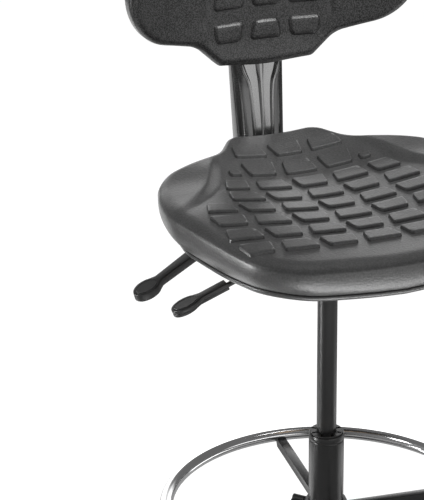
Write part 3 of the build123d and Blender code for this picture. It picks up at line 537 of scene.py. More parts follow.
@dataclass(frozen=True)
class BirchPly(Finish):
    """Sanded plywood with glue lines through its thickness."""

    name: str = "birch_ply"
    dark: Point = (0.33, 0.21, 0.11)
    light: Point = (0.58, 0.43, 0.27)
    veneer: float = 0.0015
    wave_length: float = 0.314
    wave_bend: float = 0.6
    figure_stretch: Point = (9.0, 120.0, 1.0)
    shade_shares: Span = (0.6, 0.4)
    shade_span: Span = (0.2, 0.8)
    roughness: float = 0.55
    figure_roughness: float = 0.2
    bump_strength: float = 0.25
    bump_depth: float = 0.0002

    def dress(self, maker: ShaderMaker) -> dict[str, Any]:
        """Lay out the plywood's patterns.

        Args:
            maker: The material's tree.

        Returns:
            The shader's socket values.
        """
        figure = maker.noise(1.0, 4.0, maker.stretched(self.figure_stretch))
        bands = {"Scale": self.wave_length / self.veneer, "Distortion": self.wave_bend, "Detail": 1.0}
        layers = maker.node(
            "ShaderNodeTexWave",
            {"bands_direction": "Z"},
            {"Vector": maker.coordinates(), **bands},
            "Fac",
        )
        shade = (figure * self.shade_shares[0] + layers * self.shade_shares[1]).ramp(*self.shade_span)
        return {
            "Base Color": maker.blend(shade, self.dark, self.light),
            "Roughness": self.roughness + figure * self.figure_roughness,
            "Normal": maker.bump(figure, self.bump_strength, self.bump_depth),
        }


class Finishes:
    """Every finish of the stool, made once."""

    def __init__(self) -> None:
        """Make the materials."""
        grained = MouldedSkin(
            "grained_skin",
            tone=0.006,
            tone_spread=0.080,
            roughness=0.30,
            grain_scale=640.0,
            speckle=3.4,
        )
        glossy = MouldedNylon(
            "gloss_nylon",
            tone=0.028,
            roughness=0.26,
            texture_scale=700.0,
            bump_depth=0.00004,
            polish_half=0.024,
        )
        self.skin = MouldedSkin().material()
        self.back_skin = grained.material()
        self.paint = SatinPaint().material()
        self.nylon = MouldedNylon().material()
        self.gloss = glossy.material()
        self.chrome = PolishedChrome().material()
        self.zinc = ZincSteel().material()
        self.rubber = BufferRubber().material()
        self.ply = BirchPly().material()

    def of_slot(self, slot: Slot) -> bpy.types.Material:
        """Find the material of one of the record's slots.

        Args:
            slot: The slot.

        Returns:
            Its material.
        """
        by_slot = {
            Slot.SKIN: self.skin,
            Slot.NYLON: self.nylon,
            Slot.STEEL: self.paint,
            Slot.CHROME: self.chrome,
            Slot.BRIGHT: self.zinc,
            Slot.RUBBER: self.rubber,
            Slot.PLY: self.ply,
        }
        return by_slot[slot]


# Mesh building


def new_object(name: str, mesh: bmesh.types.BMesh) -> bpy.types.Object:
    """Put a bmesh in the scene as an object.

    Args:
        name: The object's name.
        mesh: Its shape, which is freed.

    Returns:
        The new object.
    """
    data = bpy.data.meshes.new(name)
    mesh.to_mesh(data)
    mesh.free()
    made = bpy.data.objects.new(name, data)
    bpy.context.scene.collection.objects.link(made)
    return made


def place(
    name: str,
    mesh: bmesh.types.BMesh,
    body: str,
    slot: Slot,
    finishes: Finishes,
    replaced: Sequence[str] = (),
    sharp_degrees: float = 40.0,
    coat: bpy.types.Material | None = None,
) -> bpy.types.Object:
    """Turn a bmesh in millimetres into a dressed piece that rides a body.

    Args:
        name: The piece's name.
        mesh: The shape, which is freed.
        body: The body that carries it.
        slot: The record's slot of its finish.
        finishes: The materials.
        replaced: The solids that it stands for.
        sharp_degrees: Edges that turn more than this stay sharp.
        coat: A finish of its own, or None for the slot's.

    Returns:
        The new object.
    """
    bmesh.ops.remove_doubles(mesh, verts=mesh.verts, dist=MERGE_GAP)
    bmesh.ops.recalc_face_normals(mesh, faces=mesh.faces)
    bmesh.ops.scale(mesh, vec=(MM, MM, MM), verts=mesh.verts)
    piece = new_object(name, mesh)
    piece.data.shade_smooth()
    piece.data.set_sharp_from_angle(angle=math.radians(sharp_degrees))
    piece.data.materials.append(coat or finishes.of_slot(slot))
    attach(piece, body)
    if replaced:
        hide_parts(*replaced)
    LOG.info("%s: %d faces on %s", name, len(piece.data.polygons), body)
    return piece


def close_holes(mesh: bmesh.types.BMesh) -> None:
    """Fill every open edge loop of a mesh."""
    bmesh.ops.holes_fill(mesh, edges=[edge for edge in mesh.edges if edge.is_boundary], sides=0)


def new_verts(made: dict[str, Any]) -> list[bmesh.types.BMVert]:
    """The vertices among what an extrusion made."""
    return [item for item in made["geom"] if isinstance(item, bmesh.types.BMVert)]


def loop_edges(mesh: bmesh.types.BMesh, loop: list[bmesh.types.BMVert]) -> list[bmesh.types.BMEdge]:
    """The edges of a closed loop of vertices, in order."""
    return [mesh.edges.get(pair) for pair in zip(loop, loop[1:] + loop[:1])]


def block(size: Point, middle: Point) -> bmesh.types.BMesh:
    """Make a block with its edges along the axes.

    Args:
        size: Its three sizes in millimetres.
        middle: Where its middle is.

    Returns:
        The block.
    """
    mesh = bmesh.new()
    bmesh.ops.create_cube(mesh, size=1.0)
    bmesh.ops.scale(mesh, vec=size, verts=mesh.verts)
    bmesh.ops.translate(mesh, vec=middle, verts=mesh.verts)
    return mesh


def round_edges(mesh: bmesh.types.BMesh, edges: list[bmesh.types.BMEdge], offset: float) -> None:
    """Round some edges of a mesh.

    Args:
        mesh: The mesh.
        edges: The edges to round.
        offset: How far the rounding reaches, in millimetres.
    """
    bmesh.ops.bevel(
        mesh,
        geom=edges,
        offset=offset,
        offset_type="OFFSET",
        affect="EDGES",
        segments=EDGE_STEPS,
        profile=0.5,
        material=-1,
    )


def ring_of(mesh: bmesh.types.BMesh, points: np.ndarray) -> list[bmesh.types.BMVert]:
    """Start a skin with a closed, filled loop.

    Args:
        mesh: The mesh that grows.
        points: The loop's places in millimetres, one row each.

    Returns:
        The loop's vertices in order.
    """
    made = bmesh.ops.create_circle(mesh, cap_ends=True, segments=len(points), radius=1.0)
    loop = made["verts"]
    for vert, point in zip(loop, points):
        vert.co = point
    return loop


def grow(
    mesh: bmesh.types.BMesh, loop: list[bmesh.types.BMVert], points: np.ndarray
) -> list[bmesh.types.BMVert]:
    """Extrude a loop to the next one.

    Args:
        mesh: The mesh that grows.
        loop: The vertices of the open loop in order.
        points: The next loop's places in millimetres.

    Returns:
        The next loop's vertices in order.
    """
    fresh = set(new_verts(bmesh.ops.extrude_edge_only(mesh, edges=loop_edges(mesh, loop))))
    following = []
    for vert, point in zip(loop, points):
        partner = next(e.other_vert(vert) for e in vert.link_edges if e.other_vert(vert) in fresh)
        partner.co = point
        following.append(partner)
    return following


def skin_of(rings: Sequence[np.ndarray]) -> bmesh.types.BMesh:
    """Make a closed skin through a list of loops, filled at both ends.

    Args:
        rings: Loops of points in millimetres, all with one count.

    Returns:
        The skin.
    """
    mesh = bmesh.new()
    loop = ring_of(mesh, rings[0])
    for points in rings[1:]:
        loop = grow(mesh, loop, points)
    bmesh.ops.edgeloop_fill(mesh, edges=loop_edges(mesh, loop))
    return mesh


def spin_round(mesh: bmesh.types.BMesh, steps: int) -> None:
    """Spin all of a mesh once round the column's axis.

    Args:
        mesh: The mesh, which holds a profile.
        steps: Faces round the axis.
    """
    bmesh.ops.spin(
        mesh,
        geom=mesh.verts[:] + mesh.edges[:],
        cent=(0.0, 0.0, 0.0),
        axis=(0.0, 0.0, 1.0),
        angle=2 * math.pi,
        steps=steps,
        use_merge=True,
    )


def turned(profile: Curve, steps: int) -> bmesh.types.BMesh:
    """Spin a closed profile about the column's axis.

    Args:
        profile: Radius and height of each corner in millimetres.
        steps: Faces round the axis.

    Returns:
        The turned shape.
    """
    mesh = bmesh.new()
    corners = [mesh.verts.new((radius, 0.0, height)) for radius, height in profile]
    for index, corner in enumerate(corners):
        mesh.edges.new((corners[index - 1], corner))
    spin_round(mesh, steps)
    return mesh


def join(mesh: bmesh.types.BMesh, other: bmesh.types.BMesh) -> None:
    """Add another bmesh's shape to a mesh.

    Args:
        mesh: The mesh that grows.
        other: The shape to add, which is freed.
    """
    data = bpy.data.meshes.new("joined")
    other.to_mesh(data)
    other.free()
    mesh.from_mesh(data)
    bpy.data.meshes.remove(data)


def smooth_curve(where: np.ndarray, stations: Curve) -> np.ndarray:
    """Follow a smooth curve through stations.

    Args:
        where: Places to read the curve at.
        stations: Places and values in rising order.

    Returns:
        The values.
    """
    xs = np.array([station[0] for station in stations])
    ys = np.array([station[1] for station in stations])
    slopes = np.gradient(ys, xs)
    inside = np.clip(where, xs[0], xs[-1])
    here = np.clip(np.searchsorted(xs, inside) - 1, 0, len(xs) - 2)
    width = xs[here + 1] - xs[here]
    share = (inside - xs[here]) / width
    start = (1 + 2 * share) * (1 - share) ** 2 * ys[here] + share * (1 - share) ** 2 * width * slopes[here]
    end = share**2 * (3 - 2 * share) * ys[here + 1] - share**2 * (1 - share) * width * slopes[here + 1]
    return start + end


def soft_step(where: np.ndarray, low: float, high: float) -> np.ndarray:
    """A smooth step from 0 at low to 1 at high."""
    share = np.clip((where - low) / (high - low), 0.0, 1.0)
    return share * share * (3 - 2 * share)


class Outline:
    """A rounded plan outline, symmetric left and right, read round its centre."""

    def __init__(self, right_half: Curve, radii: Sequence[float], centre: Span, rays: int) -> None:
        """Round the corners and spread rays evenly along the outline.

        Args:
            right_half: Corners from one end of the centre line to the other, which isn't listed.
            radii: The rounding of each of these corners.
            centre: The point that the rays leave.
            rays: How many rays there are.
        """
        self.centre = np.array(centre)
        points = self._rounded(right_half, radii)
        lengths = np.linalg.norm(np.roll(points, -1, axis=0) - points, axis=1)
        marks = np.concatenate(([0.0], np.cumsum(lengths)))
        closed = np.vstack((points, points[:1]))
        even = np.linspace(0.0, marks[-1], rays, endpoint=False)
        self.rim = np.stack([np.interp(even, marks, closed[:, axis]) for axis in (0, 1)], axis=1)
        arms = self.rim - self.centre
        order = np.argsort(np.arctan2(arms[:, 1], arms[:, 0]))
        self._angles = np.arctan2(arms[:, 1], arms[:, 0])[order]
        self._reaches = np.hypot(arms[:, 0], arms[:, 1])[order]

    @staticmethod
    def _rounded(right_half: Curve, radii: Sequence[float]) -> np.ndarray:
        """Bevel the corners of the whole outline.

        Args:
            right_half: Corners of the right half.
            radii: Their roundings.

        Returns:
            The rounded outline's points in order.
        """
        right = [(x, y, r) for (x, y), r in zip(right_half, radii)]
        corners = right + [(-x, y, r) for x, y, r in reversed(right) if x > 0]
        mesh = bmesh.new()
        verts = [mesh.verts.new((x, y, 0.0)) for x, y, _ in corners]
        mesh.faces.new(verts)
        for index, vert in enumerate(verts):
            following = corners[(index + 1) % len(corners)]
            before = Vector((*corners[index - 1][:2], 0.0)) - Vector((*corners[index][:2], 0.0))
            after = Vector((*following[:2], 0.0)) - Vector((*corners[index][:2], 0.0))
            turn = math.pi - before.angle(after)
            bmesh.ops.bevel(
                mesh,
                geom=[vert],
                offset=corners[index][2] * math.tan(turn / 2),
                offset_type="OFFSET",
                affect="VERTICES",
                segments=CORNER_STEPS,
                profile=0.5,
                material=-1,
            )
        face = next(iter(mesh.faces))
        points = np.array([loop.vert.co[:2] for loop in face.loops])
        mesh.free()
        return points

    def reach(self, x: np.ndarray, y: np.ndarray) -> np.ndarray:
        """How far the outline is from the centre, in the direction of each point."""
        angles = np.arctan2(y - self.centre[1], x - self.centre[0])
        return np.interp(angles, self._angles, self._reaches, period=2 * math.pi)

    def at(self, share: np.ndarray | float) -> np.ndarray:
        """The outline drawn in towards the centre.

        Args:
            share: 1 for the outline and 0 for the centre, one number or one to each ray.

        Returns:
            One point to each ray.
        """
        shares = np.broadcast_to(np.asarray(share, float), (len(self.rim),))[:, None]
        return self.centre + shares * (self.rim - self.centre)


@dataclass
class Bricks:
    """The raised bricks of a pad."""

    long_edge: float = 47.0
    short_edge: float = 37.0
    corner: float = 3.0
    corner_steps: int = 5
    slope: float = 1.4
    rise: float = 4.0
    root: float = 2.5
    mesh_step: float = 5.0
    wall: Curve = ((0.12, 0.0), (0.40, 0.55), (0.20, 0.27), (0.14, 0.13), (0.14, 0.05))

    def shell(
        self,
        middle: Span,
        depth: float,
        wide_first: bool,
        cut: Sequence[Vector] | None = None,
    ) -> bmesh.types.BMesh:
        """One brick on a flat plane at height 0.

        Args:
            middle: The brick's centre in plan.
            depth: Its size across its rows.
            wide_first: True where its long edge is at the lower end of its depth.
            cut: A point and an outward direction of a straight cut, or None.

        Returns:
            The brick.
        """
        mesh = bmesh.new()
        made = bmesh.ops.create_grid(mesh, x_segments=1, y_segments=1, size=0.5)
        for vert in made["verts"]:
            first_end = vert.co.y < 0
            edge = self.long_edge if first_end == wide_first else self.short_edge
            reach = edge + 2 * self.slope
            vert.co.x = math.copysign(reach / 2, vert.co.x)
            vert.co.y = math.copysign(depth / 2 + self.slope, vert.co.y)
        bmesh.ops.translate(mesh, verts=mesh.verts, vec=(middle[0], middle[1], -self.root))
        if cut:
            self._slice(mesh, *cut, clear_outer=True)
        bmesh.ops.bevel(
            mesh,
            geom=mesh.verts[:],
            offset=self.corner + self.slope,
            offset_type="OFFSET",
            affect="VERTICES",
            segments=self.corner_steps,
            profile=0.5,
            material=-1,
            clamp_overlap=True,
        )
        top = mesh.faces[:]
        climbs = [self.root] + [share * self.rise for _, share in self.wall[1:]]
        for (inward, _), climb in zip(self.wall, climbs):
            bmesh.ops.inset_region(
                mesh,
                faces=top,
                thickness=inward * self.slope,
                depth=climb,
                use_boundary=True,
                use_even_offset=True,
            )
        close_holes(mesh)
        half_length, half_depth = self.long_edge / 2 + self.slope, depth / 2 + self.slope
        for x in np.arange(self.mesh_step - half_length, half_length, self.mesh_step):
            self._slice(mesh, Vector((middle[0] + x, middle[1], 0.0)), Vector((1.0, 0.0, 0.0)))
        for y in np.arange(self.mesh_step - half_depth, half_depth, self.mesh_step):
            self._slice(mesh, Vector((middle[0], middle[1] + y, 0.0)), Vector((0.0, 1.0, 0.0)))
        return mesh

    @staticmethod
    def _slice(
        mesh: bmesh.types.BMesh, place_at: Vector, facing: Vector, clear_outer: bool = False
    ) -> None:
        """Cut a brick by a plane.

        Args:
            mesh: The brick.
            place_at: A point of the plane.
            facing: The plane's direction.
            clear_outer: True where the side that the plane faces goes.
        """
        bmesh.ops.bisect_plane(
            mesh,
            geom=mesh.verts[:] + mesh.edges[:] + mesh.faces[:],
            plane_co=place_at,
            plane_no=facing,
            clear_outer=clear_outer,
        )


@dataclass
class SeatPad:
    """The seat: dished top, hip lobes behind a crease, rolled nose, parting line and raised bricks."""

    finishes: Finishes
    bottom: float = 738.0
    saddle: float = 48.0
    rays: int = 480
    top_rings: int = 76
    corners: Curve = (
        (0.0, -249.0), (175.0, -228.0), (215.0, -113.0), (242.0, 6.0),
        (213.0, 87.0), (98.0, 154.0), (67.0, 198.0),
    )
    radii: Sequence[float] = (420.0, 96.0, 900.0, 150.0, 62.0, 60.0, 28.0)
    middle: Span = (0.0, 20.0)
    along: Curve = (
        (-300.0, 0.0), (-215.0, 0.0), (-170.0, 0.0), (-90.0, 0.0), (20.0, 0.0),
        (65.0, 1.5), (110.0, 9.5), (170.0, 22.0), (235.0, 37.0),
    )
    dish_rise: Curve = (
        (-250.0, 4.0), (-170.0, 8.0), (-100.0, 15.0), (-40.0, 21.0), (20.0, 22.0),
        (60.0, 23.0), (100.0, 24.5), (235.0, 23.0),
    )
    dish_half_width: float = 240.0
    lobe_rise: float = 5.0
    lobe_slope: float = 0.09
    lobe_fade: Span = (80.0, 145.0)
    crease: Curve = ((250.0, -46.0), (146.0, 55.0), (104.0, 170.0))
    crease_width: float = 18.0
    roll: Curve = (
        (0.0, 24.0), (25.0, 24.0), (40.0, 23.0), (60.0, 21.0), (90.0, 19.0),
        (108.0, 17.0), (125.0, 14.0), (143.0, 12.0), (155.0, 12.0), (180.0, 12.0),
    )
    widest: Curve = (
        (0.0, 35.5), (20.0, 36.5), (35.0, 40.0), (60.0, 49.0),
        (86.0, 56.0), (108.0, 60.0), (143.0, 62.0), (180.0, 66.0),
    )
    lip_inset: Curve = (
        (0.0, 7.0), (20.0, 9.0), (35.0, 14.0), (55.0, 15.0),
        (70.0, 19.0), (90.0, 24.0), (180.0, 20.0),
    )
    lip_droop: Curve = ((0.0, 6.0), (20.0, 3.5), (35.0, 0.5), (60.0, 0.0), (180.0, 0.0))
    lip_height: float = 10.0
    edge_loops: tuple[float, float, int] = (6.0, 90.0, 15)
    flank_turn: float = 64.0
    flank_loops: tuple[float, float, int] = (0.12, 1.0, 9)
    under: Curve = (
        (0.5, -0.3), (2.0, -0.6), (2.2, -1.4), (0.8, -1.9), (0.2, -2.8),
        (0.4, -5.0), (1.6, -7.4), (4.0, -9.2), (7.5, -10.0), (14.0, -10.0),
    )
    pan_half_width: float = 141.0
    pan_ends: Span = (-141.0, 119.0)
    pan_top: float = 746.3
    pan_shares: Span = (0.6, 0.2)
    sharp: float = 50.0
    pitch: Span = (57.5, 43.5)
    first_row: float = -174.5
    brick_depth: float = 27.0
    columns: Sequence[int] = (3, 3, 3, 3, 2, 2, 1, 1)
    stud: Point = (98.0, 15.0, 11.0)
    stud_y: float = 92.0

    def __post_init__(self) -> None:
        """Work out the outline and the crease's circle."""
        self.outline = Outline(self.corners, self.radii, self.middle, self.rays)
        (ax, ay), (bx, by), (cx, cy) = self.crease
        turn = 2 * (ax * (by - cy) + bx * (cy - ay) + cx * (ay - by))
        first, second, third = ax * ax + ay * ay, bx * bx + by * by, cx * cx + cy * cy
        self.lobe_x = (first * (by - cy) + second * (cy - ay) + third * (ay - by)) / turn
        self.lobe_y = (first * (cx - bx) + second * (ax - cx) + third * (bx - ax)) / turn
        self.lobe_radius = math.hypot(ax - self.lobe_x, ay - self.lobe_y)

    def turn_from_nose(self, x: np.ndarray, y: np.ndarray) -> np.ndarray:
        """Degrees round from the nose, the same on both sides."""
        return np.degrees(np.arctan2(np.abs(x - self.middle[0]), -(y - self.middle[1])))

    def dish(self, x: np.ndarray, y: np.ndarray) -> np.ndarray:
        """Height of the dished top with its lobes, before its edge rolls over.

        Args:
            x: Places across the seat.
            y: Places along it.

        Returns:
            The heights.
        """
        level = self.bottom + self.saddle + smooth_curve(y, self.along)
        level = level + smooth_curve(y, self.dish_rise) * soft_step(np.abs(x), 0.0, self.dish_half_width)
        inside = self.lobe_radius - np.hypot(np.abs(x) - self.lobe_x, y - self.lobe_y)
        sunk = 1.0 - soft_step(inside, -self.crease_width / 2, self.crease_width / 2)
        behind = soft_step(y, *self.lobe_fade)
        lobe = self.lobe_slope * (self.dish_half_width - np.abs(x))
        return level + self.lobe_rise * behind + lobe * (1.0 - sunk) * (1.0 - behind)

    def top(self, x: np.ndarray, y: np.ndarray) -> np.ndarray:
        """Height of the finished top surface at points inside the outline.

        Args:
            x: Places across the seat.
            y: Places along it.

        Returns:
            The heights.
        """
        reach = self.outline.reach(x, y)
        inset = np.maximum(reach - np.hypot(x - self.middle[0], y - self.middle[1]), 0.0)
        turn = self.turn_from_nose(x, y)
        radius = smooth_curve(turn, self.roll)
        floor = self.bottom + smooth_curve(turn, self.widest)
        sine = np.clip(1.0 - inset / radius, 0.0, 1.0)
        return floor + (self.dish(x, y) - floor) * np.sqrt(1.0 - sine**2)

    def rings(self) -> list[np.ndarray]:
        """Lay loops from the middle of the top, over the edge, to the pan's pocket below.

        Returns:
            The loops, with one point to each ray.
        """
        rim = self.outline.rim
        arms = np.hypot(*(rim - self.outline.centre).T)
        turn = self.turn_from_nose(rim[:, 0], rim[:, 1])
        radius = smooth_curve(turn, self.roll)
        floor = self.bottom + smooth_curve(turn, self.widest)
        loops = []
        for share in np.linspace(FIRST_LOOP, 1.0, self.top_rings):
            flat = self.outline.at(share * (1.0 - radius / arms))
            loops.append(np.column_stack((flat, self.top(flat[:, 0], flat[:, 1]))))
        for angle in np.radians(np.linspace(*self.edge_loops)):
            flat = self.outline.at(1.0 - radius * (1.0 - math.sin(angle)) / arms)
            loops.append(np.column_stack((flat, self.top(flat[:, 0], flat[:, 1]))))
        lip = smooth_curve(turn, self.lip_inset)
        parting = self.bottom + self.lip_height - smooth_curve(turn, self.lip_droop)
        last = math.radians(self.flank_turn)
        for angle in np.linspace(*self.flank_loops) * last:
            inset = lip * (1.0 - math.cos(angle)) / (1.0 - math.cos(last))
            height = floor - (floor - parting) * math.sin(angle) / math.sin(last)
            loops.append(np.column_stack((self.outline.at(1.0 - inset / arms), height)))
        for extra, drop in self.under:
            flat = self.outline.at(1.0 - (lip + extra) / arms)
            loops.append(np.column_stack((flat, parting + drop)))
        pan = self._pan_edge()
        for height in (self.bottom, self.pan_top):
            loops.append(np.column_stack((pan, np.full(len(rim), height))))
        for share in self.pan_shares:
            flat = self.outline.centre + share * (pan - self.outline.centre)
            loops.append(np.column_stack((flat, np.full(len(rim), self.pan_top))))
        return loops

    def _pan_edge(self) -> np.ndarray:
        """Find where each ray meets the pan's pocket.

        Returns:
            One point to each ray.
        """
        arms = self.outline.rim - self.outline.centre
        front, rear = self.pan_ends[0] - self.middle[1], self.pan_ends[1] - self.middle[1]
        across = self.pan_half_width / np.maximum(np.abs(arms[:, 0]), TINY)
        climb = np.where(np.abs(arms[:, 1]) < TINY, TINY, arms[:, 1])
        lengthwise = np.where(arms[:, 1] < 0, front, rear) / climb
        return self.outline.centre + np.minimum(across, lengthwise)[:, None] * arms

    def build(self) -> bpy.types.Object:
        """Make the pad with its bricks.

        Returns:
            The seat piece.
        """
        mesh = skin_of(self.rings())
        for brick in self._bricks():
            for vert in brick.verts:
                vert.co.z += float(self.top(np.array([vert.co.x]), np.array([vert.co.y]))[0])
            join(mesh, brick)
        piece = place("seat_cushion", mesh, "lift", Slot.SKIN, self.finishes, ["seat_pad"], self.sharp)
        return piece

    def _bricks(self) -> list[bmesh.types.BMesh]:
        """Make every brick of the seat, with the ones that the nose corners and the creases cut.

        Returns:
            The bricks, on a flat plane.
        """
        maker = Bricks()
        cuts = {
            (0, 3): ((190.0, -162.0), (1.0, -0.2)),
            (3, 3): ((188.0, -30.0), (0.95, 0.30)),
            (5, 2): ((127.0, 57.0), (0.95, 0.30)),
        }
        made = []
        for row, reach in enumerate(self.columns):
            middle_y = self.first_row + row * self.pitch[1] + self.brick_depth / 2
            for column in range(-reach, reach + 1):
                middle = (column * self.pitch[0], middle_y)
                wide_first = (row + column) % 2 == 0
                cut = None
                if (row, abs(column)) in cuts:
                    side = math.copysign(1.0, column)
                    cut = [Vector((side * x, y, 0.0)) for x, y in cuts[row, abs(column)]]
                made.append(maker.shell(middle, self.brick_depth, wide_first, cut))
        stud_x, length, depth = self.stud
        stud = Bricks(long_edge=length, short_edge=length)
        for side in (-1.0, 1.0):
            made.append(stud.shell((side * stud_x, self.stud_y), depth, True))
        return made


@dataclass
class BackrestPad:
    """The backrest: a curved plate with a tail, wing grooves, raised bricks and a channel behind."""

    finishes: Finishes
    bottom: float = 912.0
    front: float = 214.0
    curve_radius: float = 450.0
    thickness: float = 34.0
    rays: int = 440
    face_rings: int = 60
    corners: Curve = ((0.0, -1.0), (71.0, 6.0), (106.0, 38.0), (222.0, 66.0), (202.0, 300.0))
    radii: Sequence[float] = (220.0, 9.0, 45.0, 75.0, 80.0)
    middle: Span = (0.0, 150.0)
    front_roll: float = 13.0
    front_loops: tuple[float, float, int] = (9.0, 90.0, 10)
    rear_roll: float = 12.0
    rear_loops: tuple[float, float, int] = (0.0, 90.0, 9)
    rear_shares: tuple[float, float, int] = (1.0, 0.03, 12)
    groove_x: float = 97.0
    groove_width: float = 9.0
    groove_depth: float = 2.4
    groove_foot: Span = (58.0, 80.0)
    groove_head: Span = (236.0, 262.0)
    channel_half_width: float = 46.0
    channel_face: float = 238.0
    channel_top: float = 1185.0
    channel_past: float = 60.0
    sharp: float = 50.0
    pitch_x: float = 57.5
    rows: Curve = ((43.0, 19.0), (91.0, 27.0), (138.0, 27.0), (185.0, 27.0), (232.0, 27.0))
    kick: float = 4.5
    kick_top: float = 46.0

    def __post_init__(self) -> None:
        """Work out the outline and the axis of the curve."""
        self.outline = Outline(self.corners, self.radii, self.middle, self.rays)
        self.axis_y = self.front - self.curve_radius

    def face(self, x: np.ndarray, behind: float) -> np.ndarray:
        """Depth of the curved plate, a distance behind its front face."""
        return self.axis_y + np.sqrt((self.curve_radius + behind) ** 2 - x**2)

    def front_face(self, x: np.ndarray, z: np.ndarray) -> np.ndarray:
        """Depth of the front face with its wing grooves.

        Args:
            x: Places across the backrest.
            z: Heights above its bottom.

        Returns:
            The depths.
        """
        valley = 1.0 - soft_step(np.abs(np.abs(x) - self.groove_x), 0.0, self.groove_width / 2)
        along = soft_step(z, *self.groove_foot) * (1.0 - soft_step(z, *self.groove_head))
        return self.face(x, 0.0) + self.groove_depth * valley * along - self.forward(z)

    def forward(self, z: np.ndarray) -> np.ndarray:
        """How far the tail's front kicks forward at a height."""
        return self.kick * (1.0 - soft_step(z, 0.0, self.kick_top))

    def rings(self) -> list[np.ndarray]:
        """Lay loops from the middle of the front face, over the edge, to the middle of the rear face.

        Returns:
            The loops, with one point to each ray.
        """
        arms = np.hypot(*(self.outline.rim - self.outline.centre).T)
        loops = []
        for share in np.linspace(FIRST_LOOP, 1.0, self.face_rings):
            flat = self.outline.at(share * (1.0 - self.front_roll / arms))
            loops.append(self._loop(flat, self.front_face(flat[:, 0], flat[:, 1])))
        for angle in np.radians(np.linspace(*self.front_loops)):
            flat = self.outline.at(1.0 - self.front_roll * (1.0 - math.sin(angle)) / arms)
            drop = self.front_roll * (1.0 - math.cos(angle))
            loops.append(self._loop(flat, self.face(flat[:, 0], drop) - self.forward(flat[:, 1])))
        for angle in np.radians(np.linspace(*self.rear_loops)):
            flat = self.outline.at(1.0 - self.rear_roll * (1.0 - math.cos(angle)) / arms)
            behind = self.thickness - self.rear_roll * (1.0 - math.sin(angle))
            loops.append(self._loop(flat, self.face(flat[:, 0], behind)))
        for share in np.linspace(*self.rear_shares)[1:]:
            flat = self.outline.at(share * (1.0 - self.rear_roll / arms))
            loops.append(self._loop(flat, self.face(flat[:, 0], self.thickness)))
        return loops

    def _loop(self, flat: np.ndarray, depth: np.ndarray) -> np.ndarray:
        """Join places in the face with their depths."""
        return np.column_stack((flat[:, 0], depth, flat[:, 1] + self.bottom))

    def build(self) -> bpy.types.Object:
        """Make the backrest with its bricks and its channel.

        Returns:
            The backrest piece.
        """
        mesh = self._channelled(skin_of(self.rings()))
        maker = Bricks(long_edge=40.0, short_edge=30.0, slope=5.5, rise=3.2)
        for row, (foot, depth) in enumerate(self.rows):
            for column in (-1, 0, 1):
                middle = (column * self.pitch_x, foot + depth / 2)
                brick = maker.shell(middle, depth, (row + column) % 2 == 0)
                for vert in brick.verts:
                    surface = float(self.face(np.array([vert.co.x]), 0.0)[0])
                    vert.co = (vert.co.x, surface - vert.co.z, vert.co.y + self.bottom)
                join(mesh, brick)
        piece = place(
            "backrest_cushion",
            mesh,
            "backrest",
            Slot.SKIN,
            self.finishes,
            ["backrest_pad"],
            self.sharp,
            self.finishes.back_skin,
        )
        return piece

    def _channelled(self, mesh: bmesh.types.BMesh) -> bmesh.types.BMesh:
        """Cut the rear channel for the bar.

        Args:
            mesh: The closed pad, which is freed.

        Returns:
            The pad with its channel.
        """
        bmesh.ops.recalc_face_normals(mesh, faces=mesh.faces)
        low, high, past = self.bottom - self.channel_past, self.channel_top, self.channel_past
        size = (2 * self.channel_half_width, past, high - low)
        cutter = block(size, (0.0, self.channel_face + past / 2, (low + high) / 2))
        blank, tool = new_object("backrest_blank", mesh), new_object("channel_cutter", cutter)
        modifier = blank.modifiers.new("channel", "BOOLEAN")
        modifier.operation = "DIFFERENCE"
        modifier.solver = "EXACT"
        modifier.object = tool
        bpy.context.view_layer.update()
        graph = bpy.context.evaluated_depsgraph_get()
        result = bmesh.new()
        result.from_mesh(blank.evaluated_get(graph).to_mesh())
        for made in (blank, tool):
            data = made.data
            bpy.data.objects.remove(made)
            bpy.data.meshes.remove(data)
        return result


